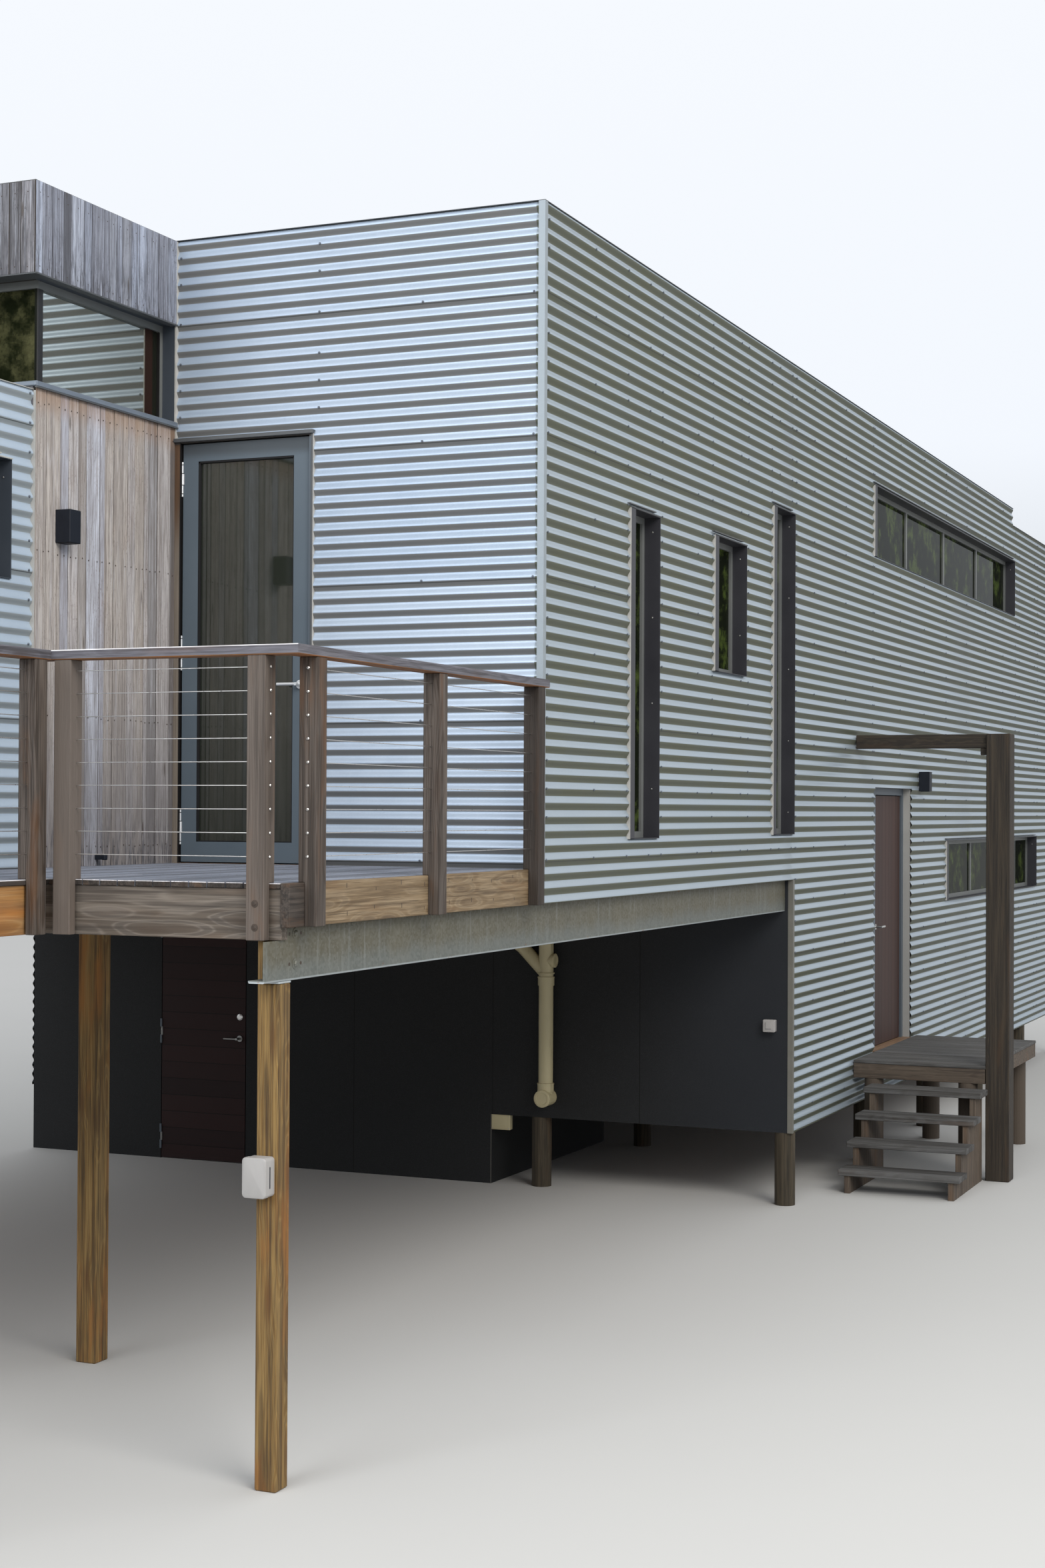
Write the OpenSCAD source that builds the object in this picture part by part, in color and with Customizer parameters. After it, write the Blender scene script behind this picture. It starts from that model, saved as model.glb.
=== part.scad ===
// Steel-clad cabin raised on posts over an open undercroft, with a railed timber deck.
// Plan datum: the outer corner of the front and side walls. +X right, +Y to the rear, +Z up.
// The model's origin is the centre of the front post's foot.

/* [Main volume] */
// Width of the cabin across the front
main_w = 6640; // [6000:10:8000]
// Length of the cabin along the side wall
main_l = 16000; // [15400:10:18000]
// Height of the upper walls' lower edge above the ground
upper_base = 2370; // [2250:10:2400]
// Height of the front parapet
parapet_z = 6120; // [6000:10:6600]
// Drop of the parapet at the rear
parapet_step_h = 180; // [100:10:200]
// Distance of the parapet's step from the front
parapet_step_y = 13000; // [12000:10:13100]
// Thickness of a framed wall without its cladding
wall_t = 120; // [90:5:150]
// Depth of the corrugated cladding
clad_t = 19; // [16:1:25]
// Thickness of the roof
roof_t = 160; // [120:10:200]
// Height of the rear parapet above the roof
roof_upstand = 80; // [50:10:150]
// Thickness of the cappings and corner angles
cap = 3; // [2:0.5:5]
// Width of a corner angle
angle_w = 35; // [25:5:60]

/* [Wing and link] */
// Distance of the link's side wall from the plane of the side wall
link_x = 2295; // [2250:5:2600]
// Depth of the link in front of the cabin
link_d = 1350; // [1200:10:1500]
// Depth of the wing in front of the link
wing_d = 3250; // [3000:10:3600]
// Height of the wing
wing_z = 5030; // [4950:10:5040]
// Height of the high corner window's sill
corner_sill = 5060; // [5050:5:5100]
// Height of the high corner window
corner_h = 580; // [500:10:620]
// Depth of the corner window's frame behind the link's side wall
corner_in = 85; // [50:1:98]
// Depth of the corner window's frame behind the link's front
corner_front_in = 150; // [120:1:158]
// Width of the flat bar at the window's outer corner
corner_bar = 10; // [8:1:40]
// Thickness of the link's front wall over the wing
link_front_t = 200; // [190:1:240]

/* [Floors] */
// Height of the upper floor and of the deck
upper_floor_z = 2556; // [2540:2:2640]
// Height of the lower floor
lower_floor_z = 890; // [860:10:1000]
// Thickness of the lower floor
lower_floor_t = 200; // [150:10:240]
// Height of the raised walls' lower edge
low_wall_z = 530; // [450:10:600]
// Where the lower volume begins behind the undercroft
lower_y = 4710; // [4400:10:4900]
// Width of the lower volume that stands on stumps beside the store
raised_w = 2390; // [2100:10:2800]
// Where the store ends
store_y = 7100; // [7000:10:7200]

/* [Deck] */
// Length of the deck in front of the cabin
deck_l = 2709; // [2600:1:2800]
// Distance of the walkway's edge from the plane of the side wall
walk_x = 1231; // [1150:1:1300]
// Thickness of the deck boards
deck_board_t = 25; // [19:1:32]
// Overhang of the deck boards past the fascias
board_lap = 12; // [5:1:20]
// Thickness of the deck's joists and side fascia
joist_t = 45; // [35:1:50]
// Thickness of the front fascia
front_fascia_t = 55; // [45:1:60]
// Depth of the front fascia and the joists
joist_h = 216; // [180:2:220]
// Distance between the deck's joists
joist_gap = 450; // [400:10:600]

/* [Railing] */
// Side of a railing post
rail_post = 88; // [80:1:100]
// Part of a post that laps outside the fascia
rail_lap = 58; // [45:1:65]
// Height of the handrail's top above the deck
rail_h = 1001; // [950:1:1100]
// Width of the handrail
handrail_w = 98; // [90:1:120]
// Thickness of the handrail
handrail_t = 43; // [35:1:50]
// Diameter of a railing wire
wire_d = 4; // [3:0.5:6]
// Number of wires in a bay
wires = 9; // [7:1:9]
// Height of the lowest wire above the deck
wire_z = 110; // [90:1:130]
// Distance between the wires
wire_gap = 100; // [90:1:102]
// Distance between the railing posts
post_gap = 1205; // [1150:5:1230]
// Distance of the deck side's last post from the front wall
rail_end = 97; // [60:1:150]
// Distance of the deck front's last post from the plane of the side wall
front_rail_end = 96; // [90:1:120]
// Distance between the posts of the deck's front bay
front_post_gap = 971; // [900:1:1000]
// Gap between the handrail's end and the front wall
handrail_gap = 50; // [20:5:60]
// Gap between the corner of the deck's front post and the walkway's first post
walk_post_gap = 22; // [10:1:40]

/* [Deck door] */
// Width of the deck door's opening
deck_door_w = 836; // [800:2:880]
// Height of the deck door's opening
deck_door_h = 2400; // [2200:10:2440]
// Thickness of the trim round the opening
door_trim = 14; // [8:1:20]
// Width of the timber jamb on the hinge side
hinge_jamb = 40; // [30:1:60]
// Width of the deck door's stiles
stile_w = 100; // [80:1:120]
// Height of the deck door's bottom rail
bottom_rail = 115; // [100:1:150]
// Thickness of the door leaves
leaf_t = 44; // [38:1:50]
// Depth of the deck door's leaf behind the wall's face
leaf_setback = 62; // [50:1:70]
// Running gap round the leaves
leaf_gap = 7; // [6:0.5:10]
// Diameter of the hinge knuckles
knuckle_d = 10; // [8:1:12]
// Height of a hinge knuckle
knuckle_h = 66; // [50:1:70]
// Height of the handles above the floor
handle_z = 1000; // [900:10:1100]
// Diameter of a handle's rose
rose_d = 50; // [40:1:60]
// Thickness of a handle's rose
rose_t = 8; // [5:1:12]
// Length of a lever
lever_l = 120; // [100:5:140]
// Diameter of a lever
lever_d = 18; // [14:1:20]
// Distance of a lever from its leaf
lever_reach = 45; // [40:1:55]

/* [Store door] */
// Distance of the store door's hinge side from the plane of the side wall
store_door_x = 5362; // [5200:1:5600]
// Width of the store door's opening
store_door_w = 800; // [750:5:900]
// Height of the store door's opening
store_door_h = 2080; // [2000:10:2150]

/* [Entry] */
// Near side of the entry opening
entry_y = 7110; // [7100:10:7300]
// Width of the entry opening
entry_w = 1290; // [1200:10:1400]
// Height of the entry opening above the lower floor
entry_h = 2180; // [2100:10:2250]
// Width of the entry door's leaf
entry_leaf_w = 920; // [850:5:960]
// Width of the entry's frame
entry_frame = 60; // [50:5:80]

/* [Windows] */
// Where the first tall window begins
tall1_y = 1320; // [1200:5:1500]
// Width of the first tall window
tall1_w = 505; // [400:5:600]
// Height of the first tall window's head
tall1_head = 4650; // [4500:10:4800]
// Height of the tall windows' sill
tall_sill = 2700; // [2650:10:2900]
// Where the small window begins
small_y = 2885; // [2700:5:3000]
// Width of the small window
small_w = 680; // [500:5:700]
// Height of the small window's sill
small_sill = 3780; // [3600:10:4000]
// Height of the small window's head
small_head = 4670; // [4500:10:4800]
// Where the second tall window begins
tall2_y = 4200; // [4100:5:4300]
// Width of the second tall window
tall2_w = 530; // [400:5:600]
// Height of the second tall window's head
tall2_head = 5030; // [4900:10:5100]
// Where the high strip window begins
strip_y = 7050; // [6900:5:7080]
// Length of the high strip window
strip_l = 6030; // [5500:10:6300]
// Height of the high strip window's sill
strip_sill = 4975; // [4900:5:5000]
// Height of the high strip window
strip_h = 590; // [500:5:600]
// Where the low strip window begins
low_strip_y = 9785; // [9600:5:10000]
// Distance of the low strip window from the rear wall
low_strip_end = 1615; // [1500:5:2000]
// Height of the low strip window's sill
low_strip_sill = 2040; // [1900:5:2100]
// Height of the low strip window
low_strip_h = 560; // [500:5:620]
// Height of the wing windows' sill
wing_sill = 4030; // [3900:5:4100]
// Height of the wing windows
wing_win_h = 610; // [500:5:620]
// Width of the wing's side window
wing_win_w = 900; // [600:10:1000]
// Distance of the wing's side window from the link's corner
wing_win_gap = 190; // [180:5:400]
// Width of the wing's front window
wing_front_w = 1800; // [1500:10:2200]
// Distance of the rear windows from the side walls
back_win_end = 900; // [600:50:1500]
// Width of a window frame's section
frame_w = 42; // [35:1:60]
// Depth of a window frame
frame_d = 40; // [30:1:41]
// Depth of the window frames behind the wall's face
frame_in = 97; // [50:1:98]
// Thickness of the glass
glass_t = 8; // [6:1:12]
// Longest pane of a strip window
pane_l = 1550; // [1200:10:1800]

/* [Steel, posts and stumps] */
// Depth of the steel channel
beam_h = 230; // [200:5:250]
// Width of the steel channel
beam_w = 75; // [60:1:75]
// Thickness of the channel's web
web_t = 8; // [6:1:10]
// Thickness of the channel's flanges
flange_t = 12; // [10:1:15]
// Distance of the channel's web behind the plane of the side wall
beam_in = 60; // [55:1:80]
// Length of the channel in front of the front wall
beam_front = 2821; // [2780:1:2900]
// Thickness of the plate between the channel and its post
cap_t = 8; // [6:1:12]
// Part of the plate that sticks out past the post
plate_lap = 45; // [20:5:60]
// Side of the front post
post_w = 104; // [100:1:130]
// Distance of the front post's centre in front of the front wall
front_post_y = 2649; // [2600:1:2700]
// Side of the other undercroft posts
inner_post_w = 120; // [100:1:140]
// Distance of the inner post from the plane of the side wall
inner_post_x = 2040; // [1900:5:2100]
// Distance of the inner post in front of the front wall
inner_post_y = 1140; // [1000:5:1300]
// Diameter of the stumps
stump_d = 150; // [125:5:200]
// Distance of the outer stumps' centres from the walls' faces
stump_in = 75; // [75:1:120]
// Distance of the inner row of stumps from the plane of the side wall
stump_row = 2000; // [1900:10:2100]
// Largest distance between stumps along the cabin
stump_gap = 2300; // [2000:50:2600]
// Width of the bearers on the stumps
bearer_w = 90; // [70:5:120]

/* [Landing] */
// Width of the landing beside the side wall
landing_w = 1050; // [1000:10:1300]
// Where the landing begins
landing_y = 6430; // [6300:10:6800]
// Length of the landing
landing_l = 2160; // [2000:10:2400]
// Thickness of the landing's frame
landing_t = 140; // [100:5:160]
// Number of treads below the landing
treads = 4; // [3:1:4]
// Length of a tread
tread_l = 920; // [850:10:1000]
// Width of a tread
tread_w = 270; // [250:5:280]
// Thickness of a tread
tread_t = 45; // [38:1:60]
// Distance of the treads from the side wall
tread_x = 150; // [60:5:200]
// Going of the steps
going = 250; // [240:5:270]
// Rise of the steps
rise = 178; // [160:1:200]
// Thickness of a stringer
stringer_t = 45; // [35:1:60]
// Side of the porch post
porch_post = 185; // [150:5:220]
// Height of the porch beam's top
porch_z = 3480; // [3400:10:3700]
// Depth of the porch beam
porch_beam_h = 110; // [100:5:220]

/* [Pipe and fittings] */
// Diameter of the waste pipe
pipe_d = 110; // [90:5:110]
// Distance of the pipe from the plane of the side wall
pipe_x = 1910; // [1700:10:2000]
// Gap between the pipe and the wall
pipe_off = 15; // [10:1:40]
// Height of the pipe's foot
pipe_foot = 690; // [650:10:900]
// Height of the branch above the pipe's foot
pipe_branch = 940; // [800:10:1100]
// Diameter of the branch
branch_d = 100; // [80:5:105]
// Length of the branch's sloping part
branch_l = 300; // [200:10:320]
// Height of the inspection cap above the pipe's foot
cap_z = 1040; // [950:10:1200]
// Length of the inspection cap
cap_l = 75; // [70:5:90]
// Length of the bend at the foot
foot_l = 75; // [60:5:80]
// Heights of the collars above the pipe's foot
pipe_collars = [50, 850]; // [40:10:1200]
// Height of a collar
collar_h = 60; // [40:5:80]
// Thickness that a collar adds to the diameter
collar_lap = 14; // [8:1:20]
// Heights of the clips above the pipe's foot
pipe_clips = [810]; // [150:10:1150]
// Width of a clip
clip_w = 40; // [25:5:60]
// Height of a clip
clip_h = 30; // [20:5:40]
// Width of a wall light
light_w = 100; // [80:5:120]
// Depth of a wall light
light_d = 95; // [80:5:110]
// Height of a wall light
light_h = 175; // [140:5:200]
// Distance of the deck's light from the front wall
light_in = 1160; // [1050:5:1200]
// Height of the deck's light
light_z = 4257; // [4100:10:4500]
// Where the entry's light is
entry_light_y = 8660; // [8500:10:8800]
// Height of the entry's light
entry_light_z = 3050; // [3000:10:3200]
// Side of the door stop
stop_w = 30; // [25:1:40]
// Depth of the door stop
stop_d = 70; // [50:5:80]
// Distance of the door stop from the front wall
stop_in = 780; // [700:5:800]
// Side of the socket
socket_w = 90; // [80:5:120]
// Depth of the socket and the junction box
socket_d = 55; // [40:5:70]
// Distance of the socket from the plane of the side wall
socket_in = 208; // [150:1:500]
// Height of the socket
socket_z = 1262; // [1100:1:1600]
// Width of the junction box
junction_w = 155; // [100:5:180]
// Height of the junction box
junction_h = 115; // [80:5:150]
// Width of the sensor box
sensor_w = 115; // [100:5:130]
// Distance of the sensor box's middle from the plane of the side wall
sensor_x = 130; // [110:5:170]
// Depth of the sensor box
sensor_d = 80; // [40:5:90]
// Height of the sensor box
sensor_h = 170; // [120:5:200]
// Height of the sensor box's lower edge
sensor_z = 1240; // [1100:5:1600]

/* [Hidden] */
$fn = 48;
eps = 1;

front_post_x = beam_in + post_w / 2;
core = clad_t + wall_t;
wing_y = -(link_d + wing_d);
rear_parapet_z = parapet_z - parapet_step_h;
roof_z = rear_parapet_z - roof_upstand;
wing_roof_z = wing_z - roof_upstand;
corner_head = corner_sill + corner_h;
deck_under = upper_floor_z - deck_board_t;
joist_z = deck_under - joist_h;
beam_z = upper_base - beam_h;
hinge_x = -link_x + hinge_jamb;
deck_door_right = hinge_x + deck_door_w;
deck_door_head = upper_floor_z + deck_door_h;
entry_head = lower_floor_z + entry_h;
lower_under = lower_floor_z - lower_floor_t;
leaf_x = deck_door_w - 2 * leaf_gap;
leaf_h = deck_door_h - 2 * leaf_gap;
store_leaf_h = store_door_h - 2 * leaf_gap;
entry_leaf_h = entry_h - entry_frame - 2 * leaf_gap;
entry_hinge_y = entry_y + entry_w - entry_frame;

// Windows along a wall: start, width, sill and head
low_strip_l = main_l - low_strip_end - low_strip_y;
side_windows = [
    [tall1_y, tall1_w, tall_sill, tall1_head],
    [small_y, small_w, small_sill, small_head],
    [tall2_y, tall2_w, tall_sill, tall2_head],
    [strip_y, strip_l, strip_sill, strip_sill + strip_h],
    [low_strip_y, low_strip_l, low_strip_sill, low_strip_sill + low_strip_h]
];
left_windows = [for (i = [1, 3, 4]) side_windows[i]];
back_l = main_w - 2 * (core + back_win_end);
back_windows = [
    [-main_w + core + back_win_end, back_l, strip_sill, strip_sill + strip_h],
    [-main_w + core + back_win_end, back_l, low_strip_sill, low_strip_sill + low_strip_h]
];
wing_windows = [
    [-link_d - wing_win_gap - wing_win_w, wing_win_w, wing_sill, wing_sill + wing_win_h]
];
wing_front_windows = [
    [-(main_w + link_x + wing_front_w) / 2, wing_front_w, wing_sill, wing_sill + wing_win_h]
];

module box(a, b) translate(a) cube(b - a);
module at_origin() translate([front_post_x, front_post_y, 0]) children();

// Holes for windows in a wall along Y, between the planes x0 and x1
module holes_y(list, x0, x1)
    for (w = list) box([x0 - eps, w[0], w[2]], [x1 + eps, w[0] + w[1], w[3]]);
// Holes for windows in a wall along X, between the planes y0 and y1
module holes_x(list, y0, y1)
    for (w = list) box([w[0], y0 - eps, w[2]], [w[0] + w[1], y1 + eps, w[3]]);

module front_cladding() color("lightsteelblue") at_origin() {
    difference() {
        box([-link_x, 0, upper_base], [-clad_t, clad_t, parapet_z]);
        box([-link_x - eps, -eps, upper_base - eps],
            [deck_door_right + door_trim, clad_t + eps, deck_door_head + door_trim]);
    }
    difference() {
        box([-link_x - clad_t, wing_y, upper_base], [-link_x, -link_d, wing_z]);
        holes_y(wing_windows, -link_x - clad_t, -link_x);
    }
    difference() {
        box([-main_w, wing_y, upper_base], [-link_x - clad_t, wing_y + clad_t, wing_z]);
        holes_x(wing_front_windows, wing_y, wing_y + clad_t);
    }
}

module side_cladding() color("lightsteelblue") at_origin() difference() {
    union() {
        box([-clad_t, 0, upper_base], [0, lower_y, parapet_z]);
        box([-clad_t, lower_y, low_wall_z], [0, parapet_step_y, parapet_z]);
        box([-clad_t, parapet_step_y, low_wall_z], [0, main_l, rear_parapet_z]);
    }
    holes_y(side_windows, -clad_t, 0);
    box([-clad_t - eps, entry_y, lower_under], [eps, entry_y + entry_w, entry_head]);
}

module rear_cladding() color("lightsteelblue") at_origin() difference() {
    union() {
        box([-main_w, main_l - clad_t, low_wall_z], [-clad_t, main_l, rear_parapet_z]);
        box([-main_w, parapet_step_y, low_wall_z], [-main_w + clad_t, main_l - clad_t, rear_parapet_z]);
        box([-main_w, lower_y, low_wall_z], [-main_w + clad_t, parapet_step_y, parapet_z]);
        box([-main_w, -link_d, upper_base], [-main_w + clad_t, lower_y, parapet_z]);
        box([-main_w, wing_y + clad_t, upper_base], [-main_w + clad_t, -link_d, wing_z]);
    }
    holes_y(left_windows, -main_w, -main_w + clad_t);
    holes_x(back_windows, main_l - clad_t, main_l);
}

module front_wall() color("gainsboro") at_origin()
    box([deck_door_right + door_trim, clad_t, upper_base], [-clad_t, core, parapet_z]);

module front_wall_over_door() color("gainsboro") at_origin()
    box([-link_x, clad_t, deck_door_head + door_trim],
        [deck_door_right + door_trim, core, parapet_z]);

module side_wall_front() color("gainsboro") at_origin() difference() {
    box([-core, core, upper_base], [-clad_t, entry_y, parapet_z]);
    holes_y(side_windows, -core, -clad_t);
}

module side_wall_low() color("gainsboro") at_origin()
    box([-core, lower_y + wall_t, low_wall_z], [-clad_t, entry_y, upper_base]);

module side_wall_over_entry() color("gainsboro") at_origin() difference() {
    box([-core, entry_y, entry_head], [-clad_t, entry_y + entry_w, parapet_z]);
    holes_y(side_windows, -core, -clad_t);
}

module side_wall_rear() color("gainsboro") at_origin() difference() {
    union() {
        box([-core, entry_y + entry_w, low_wall_z], [-clad_t, parapet_step_y, parapet_z]);
        box([-core, parapet_step_y, low_wall_z], [-clad_t, main_l - clad_t, rear_parapet_z]);
    }
    holes_y(side_windows, -core, -clad_t);
}

module back_wall() color("gainsboro") at_origin() difference() {
    box([-main_w + core, main_l - core, low_wall_z], [-core, main_l - clad_t, rear_parapet_z]);
    holes_x(back_windows, main_l - core, main_l - clad_t);
}

module left_wall() color("gainsboro") at_origin() difference() {
    union() {
        box([-main_w + clad_t, parapet_step_y, low_wall_z],
            [-main_w + core, main_l - clad_t, rear_parapet_z]);
        box([-main_w + clad_t, lower_y + wall_t, low_wall_z],
            [-main_w + core, parapet_step_y, parapet_z]);
        box([-main_w + clad_t, -link_d, upper_base],
            [-main_w + core, lower_y + wall_t, parapet_z]);
        box([-main_w + clad_t, wing_y + core, upper_base], [-main_w + core, -link_d, wing_z]);
    }
    holes_y(left_windows, -main_w + clad_t, -main_w + core);
}

module wing_wall_right() color("gainsboro") at_origin() difference() {
    box([-link_x - core, wing_y + core, upper_base], [-link_x - clad_t, -link_d, wing_z]);
    holes_y(wing_windows, -link_x - core, -link_x - clad_t);
}

module wing_wall_front() color("gainsboro") at_origin() difference() {
    box([-main_w + clad_t, wing_y + clad_t, upper_base],
        [-link_x - clad_t, wing_y + core, wing_z]);
    holes_x(wing_front_windows, wing_y + clad_t, wing_y + core);
}

// Boarded side wall of the link, with its return over the wing's roof
module timber_wall() color("rosybrown") at_origin() {
    box([-link_x - core, -link_d, upper_base], [-link_x, core, corner_sill]);
    box([-main_w + core, -link_d, wing_roof_z - roof_t],
        [-link_x - core, -link_d + link_front_t, corner_sill]);
}

// Boarded parapet over the high corner window, with a return along the link's front
module timber_parapet() color("tan") at_origin() {
    box([-link_x - core, -link_d, corner_head], [-link_x, core, parapet_z]);
    box([-link_x - core, 0, corner_sill], [-link_x, core, corner_head]);
    box([-main_w + core, -link_d, corner_head],
        [-link_x - core, -link_d + link_front_t, parapet_z]);
}

module undercroft_wall_left() color("dimgray") at_origin()
    box([-main_w + clad_t, lower_y, 0], [-store_door_x, lower_y + wall_t, upper_base]);

module undercroft_wall_over_door() color("dimgray") at_origin()
    box([-store_door_x, lower_y, store_door_h],
        [-store_door_x + store_door_w, lower_y + wall_t, upper_base]);

module undercroft_wall_right() color("dimgray") at_origin() {
    box([-store_door_x + store_door_w, lower_y, 0], [-raised_w, lower_y + wall_t, upper_base]);
    box([-raised_w, lower_y, low_wall_z], [-clad_t, lower_y + wall_t, upper_base]);
}

// Walls of the store behind the undercroft, up to the upper floor
module store_walls() color("dimgray") at_origin() {
    box([-main_w + clad_t, lower_y + wall_t, 0], [-main_w + core, store_y, low_wall_z]);
    box([-main_w + core, store_y - wall_t, 0], [-raised_w, store_y, upper_base]);
    box([-raised_w - wall_t, lower_y + wall_t, 0], [-raised_w, store_y - wall_t, upper_base]);
}

module upper_floor() color("burlywood") at_origin() {
    box([-main_w + core, core, upper_base], [-core, store_y, upper_floor_z]);
    box([-main_w + core, wing_y + core, upper_base], [-link_x - core, core, upper_floor_z]);
    box([-link_x, 0, upper_base], [deck_door_right + door_trim, core, upper_floor_z]);
}

module lower_floor() color("burlywood") at_origin() {
    box([-main_w + core, store_y, lower_under], [-core, main_l - core, lower_floor_z]);
    box([-raised_w, lower_y + wall_t, lower_under], [-core, store_y, lower_floor_z]);
    box([-core, entry_y, lower_under], [0, entry_y + entry_w, lower_floor_z]);
}

module main_roof() color("silver") at_origin() {
    box([-main_w + core, core, roof_z - roof_t], [-core, main_l - core, roof_z]);
    box([-main_w + core, -link_d + link_front_t, roof_z - roof_t], [-link_x - core, core, roof_z]);
}

module wing_roof() color("silver") at_origin()
    box([-main_w + core, wing_y + core, wing_roof_z - roof_t],
        [-link_x - core, -link_d, wing_roof_z]);

// Folded cappings on the parapets and the cover strips at two corners
module flashings() color("slategray") at_origin() {
    box([-link_x, -cap, parapet_z], [cap, core + cap, parapet_z + cap]);
    box([-core, core + cap, parapet_z], [cap, parapet_step_y, parapet_z + cap]);
    box([-core, parapet_step_y, rear_parapet_z], [cap, main_l, rear_parapet_z + cap]);
    box([-main_w, main_l - core, rear_parapet_z], [-core, main_l, rear_parapet_z + cap]);
    box([-main_w, parapet_step_y, rear_parapet_z],
        [-main_w + core, main_l - core, rear_parapet_z + cap]);
    box([-main_w, -link_d + link_front_t, parapet_z],
        [-main_w + core, parapet_step_y, parapet_z + cap]);
    box([-main_w, -link_d, parapet_z], [-link_x, -link_d + link_front_t, parapet_z + cap]);
    box([-link_x - core, -link_d + link_front_t, parapet_z], [-link_x, core, parapet_z + cap]);
    box([-main_w, wing_y, wing_z], [-link_x, wing_y + core, wing_z + cap]);
    box([-link_x - core, wing_y + core, wing_z], [-link_x, -link_d, wing_z + cap]);
    box([-main_w, wing_y + core, wing_z], [-main_w + core, -link_d, wing_z + cap]);
    corner_strip([0, 0], upper_floor_z, parapet_z);
    corner_strip([0, lower_y], low_wall_z, upper_base);
}

// Angle over a corner of the cladding, from z0 to z1
module corner_strip(p, z0, z1) {
    box([p[0] - angle_w, p[1] - cap, z0], [p[0] + cap, p[1], z1]);
    box([p[0], p[1], z0], [p[0] + cap, p[1] + angle_w, z1]);
}

// Rows and places of the stumps along the cabin
stump_y0 = lower_y + stump_in;
stump_y1 = main_l - stump_in;
stump_n = ceil((stump_y1 - stump_y0) / stump_gap);
stump_rows = [-stump_in, -stump_row, -(stump_row + main_w - stump_in) / 2, -main_w + stump_in];
function stump_y(i) = stump_y0 + i * (stump_y1 - stump_y0) / stump_n;
function in_store(x, y) = x < -raised_w && y < store_y + stump_d;

module stumps() color("saddlebrown") at_origin()
    for (x = stump_rows, i = [0 : stump_n])
        if (!in_store(x, stump_y(i)))
            translate([x, stump_y(i), 0]) cylinder(h = low_wall_z, d = stump_d);

// Square posts under the deck, the walkway and the wing
module undercroft_posts() color("peru") at_origin() {
    translate([-front_post_x, -front_post_y, 0]) {
        square_post(post_w, beam_z - cap_t);
        box([-post_w / 2, -post_w / 2, beam_z], [post_w / 2 - beam_w, post_w / 2, joist_z]);
    }
    translate([-inner_post_x, -inner_post_y, 0]) square_post(inner_post_w, joist_z);
    translate([-walk_x - inner_post_w / 2, wing_y + inner_post_w / 2, 0])
        square_post(inner_post_w, joist_z);
    for (x = [-link_x - inner_post_w, -main_w + inner_post_w])
        translate([x, wing_y + inner_post_w, 0]) square_post(inner_post_w, upper_base);
    translate([-main_w + core + bearer_w, bearer_w / 2, 0]) square_post(inner_post_w, beam_z);
}

module square_post(w, h) translate([-w / 2, -w / 2, 0]) cube([w, w, h]);

// Channel under the side wall, cut back under the deck's front fascia, on a plate
module side_beam() color("darkseagreen") at_origin() {
    difference() {
        box([-beam_in - beam_w, -beam_front, beam_z], [-beam_in, lower_y, upper_base]);
        box([-beam_in - beam_w - eps, -beam_front - eps, beam_z + flange_t],
            [-beam_in - web_t, lower_y + eps, upper_base - flange_t]);
        box([-beam_in - beam_w - eps, -beam_front - eps, joist_z],
            [eps, -deck_l + front_fascia_t, upper_base + eps]);
    }
    box([-front_post_x - post_w / 2 - plate_lap, -front_post_y - post_w / 2, beam_z - cap_t],
        [-beam_in, -front_post_y + post_w / 2, beam_z]);
}

// Bearers under the upper floor and on the inner stumps
module bearers() color("sienna") at_origin() {
    for (x = [-stump_row, stump_rows[2]]) {
        y0 = x < -raised_w ? store_y : lower_y + wall_t;
        box([x - bearer_w / 2, y0, low_wall_z], [x + bearer_w / 2, main_l - core, lower_under]);
    }
    for (x = [-main_w / 2, -main_w + core + bearer_w])
        box([x - bearer_w / 2, 0, beam_z], [x + bearer_w / 2, lower_y, upper_base]);
    box([-main_w + core, 0, beam_z], [-beam_in - beam_w, bearer_w, upper_base]);
}

module deck_boards() color("darkgray") at_origin() {
    box([-link_x, -deck_l - board_lap, deck_under], [-joist_t, 0, upper_floor_z]);
    box([-link_x, wing_y, deck_under], [-walk_x + board_lap, -deck_l - board_lap, upper_floor_z]);
}

// Joists across the deck and the walkway, with the fascias round them
module deck_frame() color("burlywood") at_origin() {
    inner = -beam_in - beam_w;
    joists = floor((deck_l - front_fascia_t) / joist_gap);
    box([-joist_t, -deck_l - board_lap, upper_base], [0, 0, upper_floor_z]);
    box([-link_x, -deck_l, joist_z], [-joist_t, -deck_l + front_fascia_t, deck_under]);
    for (i = [0 : joists]) {
        y = -joist_t - i * joist_gap;
        box([-link_x, y, joist_z], [inner, y + joist_t, deck_under]);
        box([inner, y, upper_base], [-joist_t, y + joist_t, deck_under]);
    }
    box([-inner_post_x - joist_t, -deck_l + front_fascia_t, joist_z],
        [-inner_post_x + joist_t, -joist_t, deck_under]);
    box([-walk_x - joist_t, wing_y, joist_z], [-walk_x, -deck_l, deck_under]);
    for (y = [wing_y : joist_gap : -deck_l - joist_t])
        box([-link_x, y, joist_z], [-walk_x - joist_t, y + joist_t, deck_under]);
}

// Places of the railing posts: along the deck's front, its side and the walkway
rail_mid = rail_lap - rail_post / 2;
side_posts = [for (i = [0 : 2]) -rail_end - rail_post / 2 - i * post_gap];
front_posts = [for (i = [0 : 1]) -front_rail_end - rail_post / 2 - i * front_post_gap];
walk_first = -deck_l - rail_lap - rail_post / 2 - walk_post_gap;
walk_posts = [walk_first, (walk_first + wing_y + rail_post / 2) / 2, wing_y + rail_post / 2];
rail_top = upper_floor_z + rail_h;
rail_under = rail_top - handrail_t;

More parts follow.
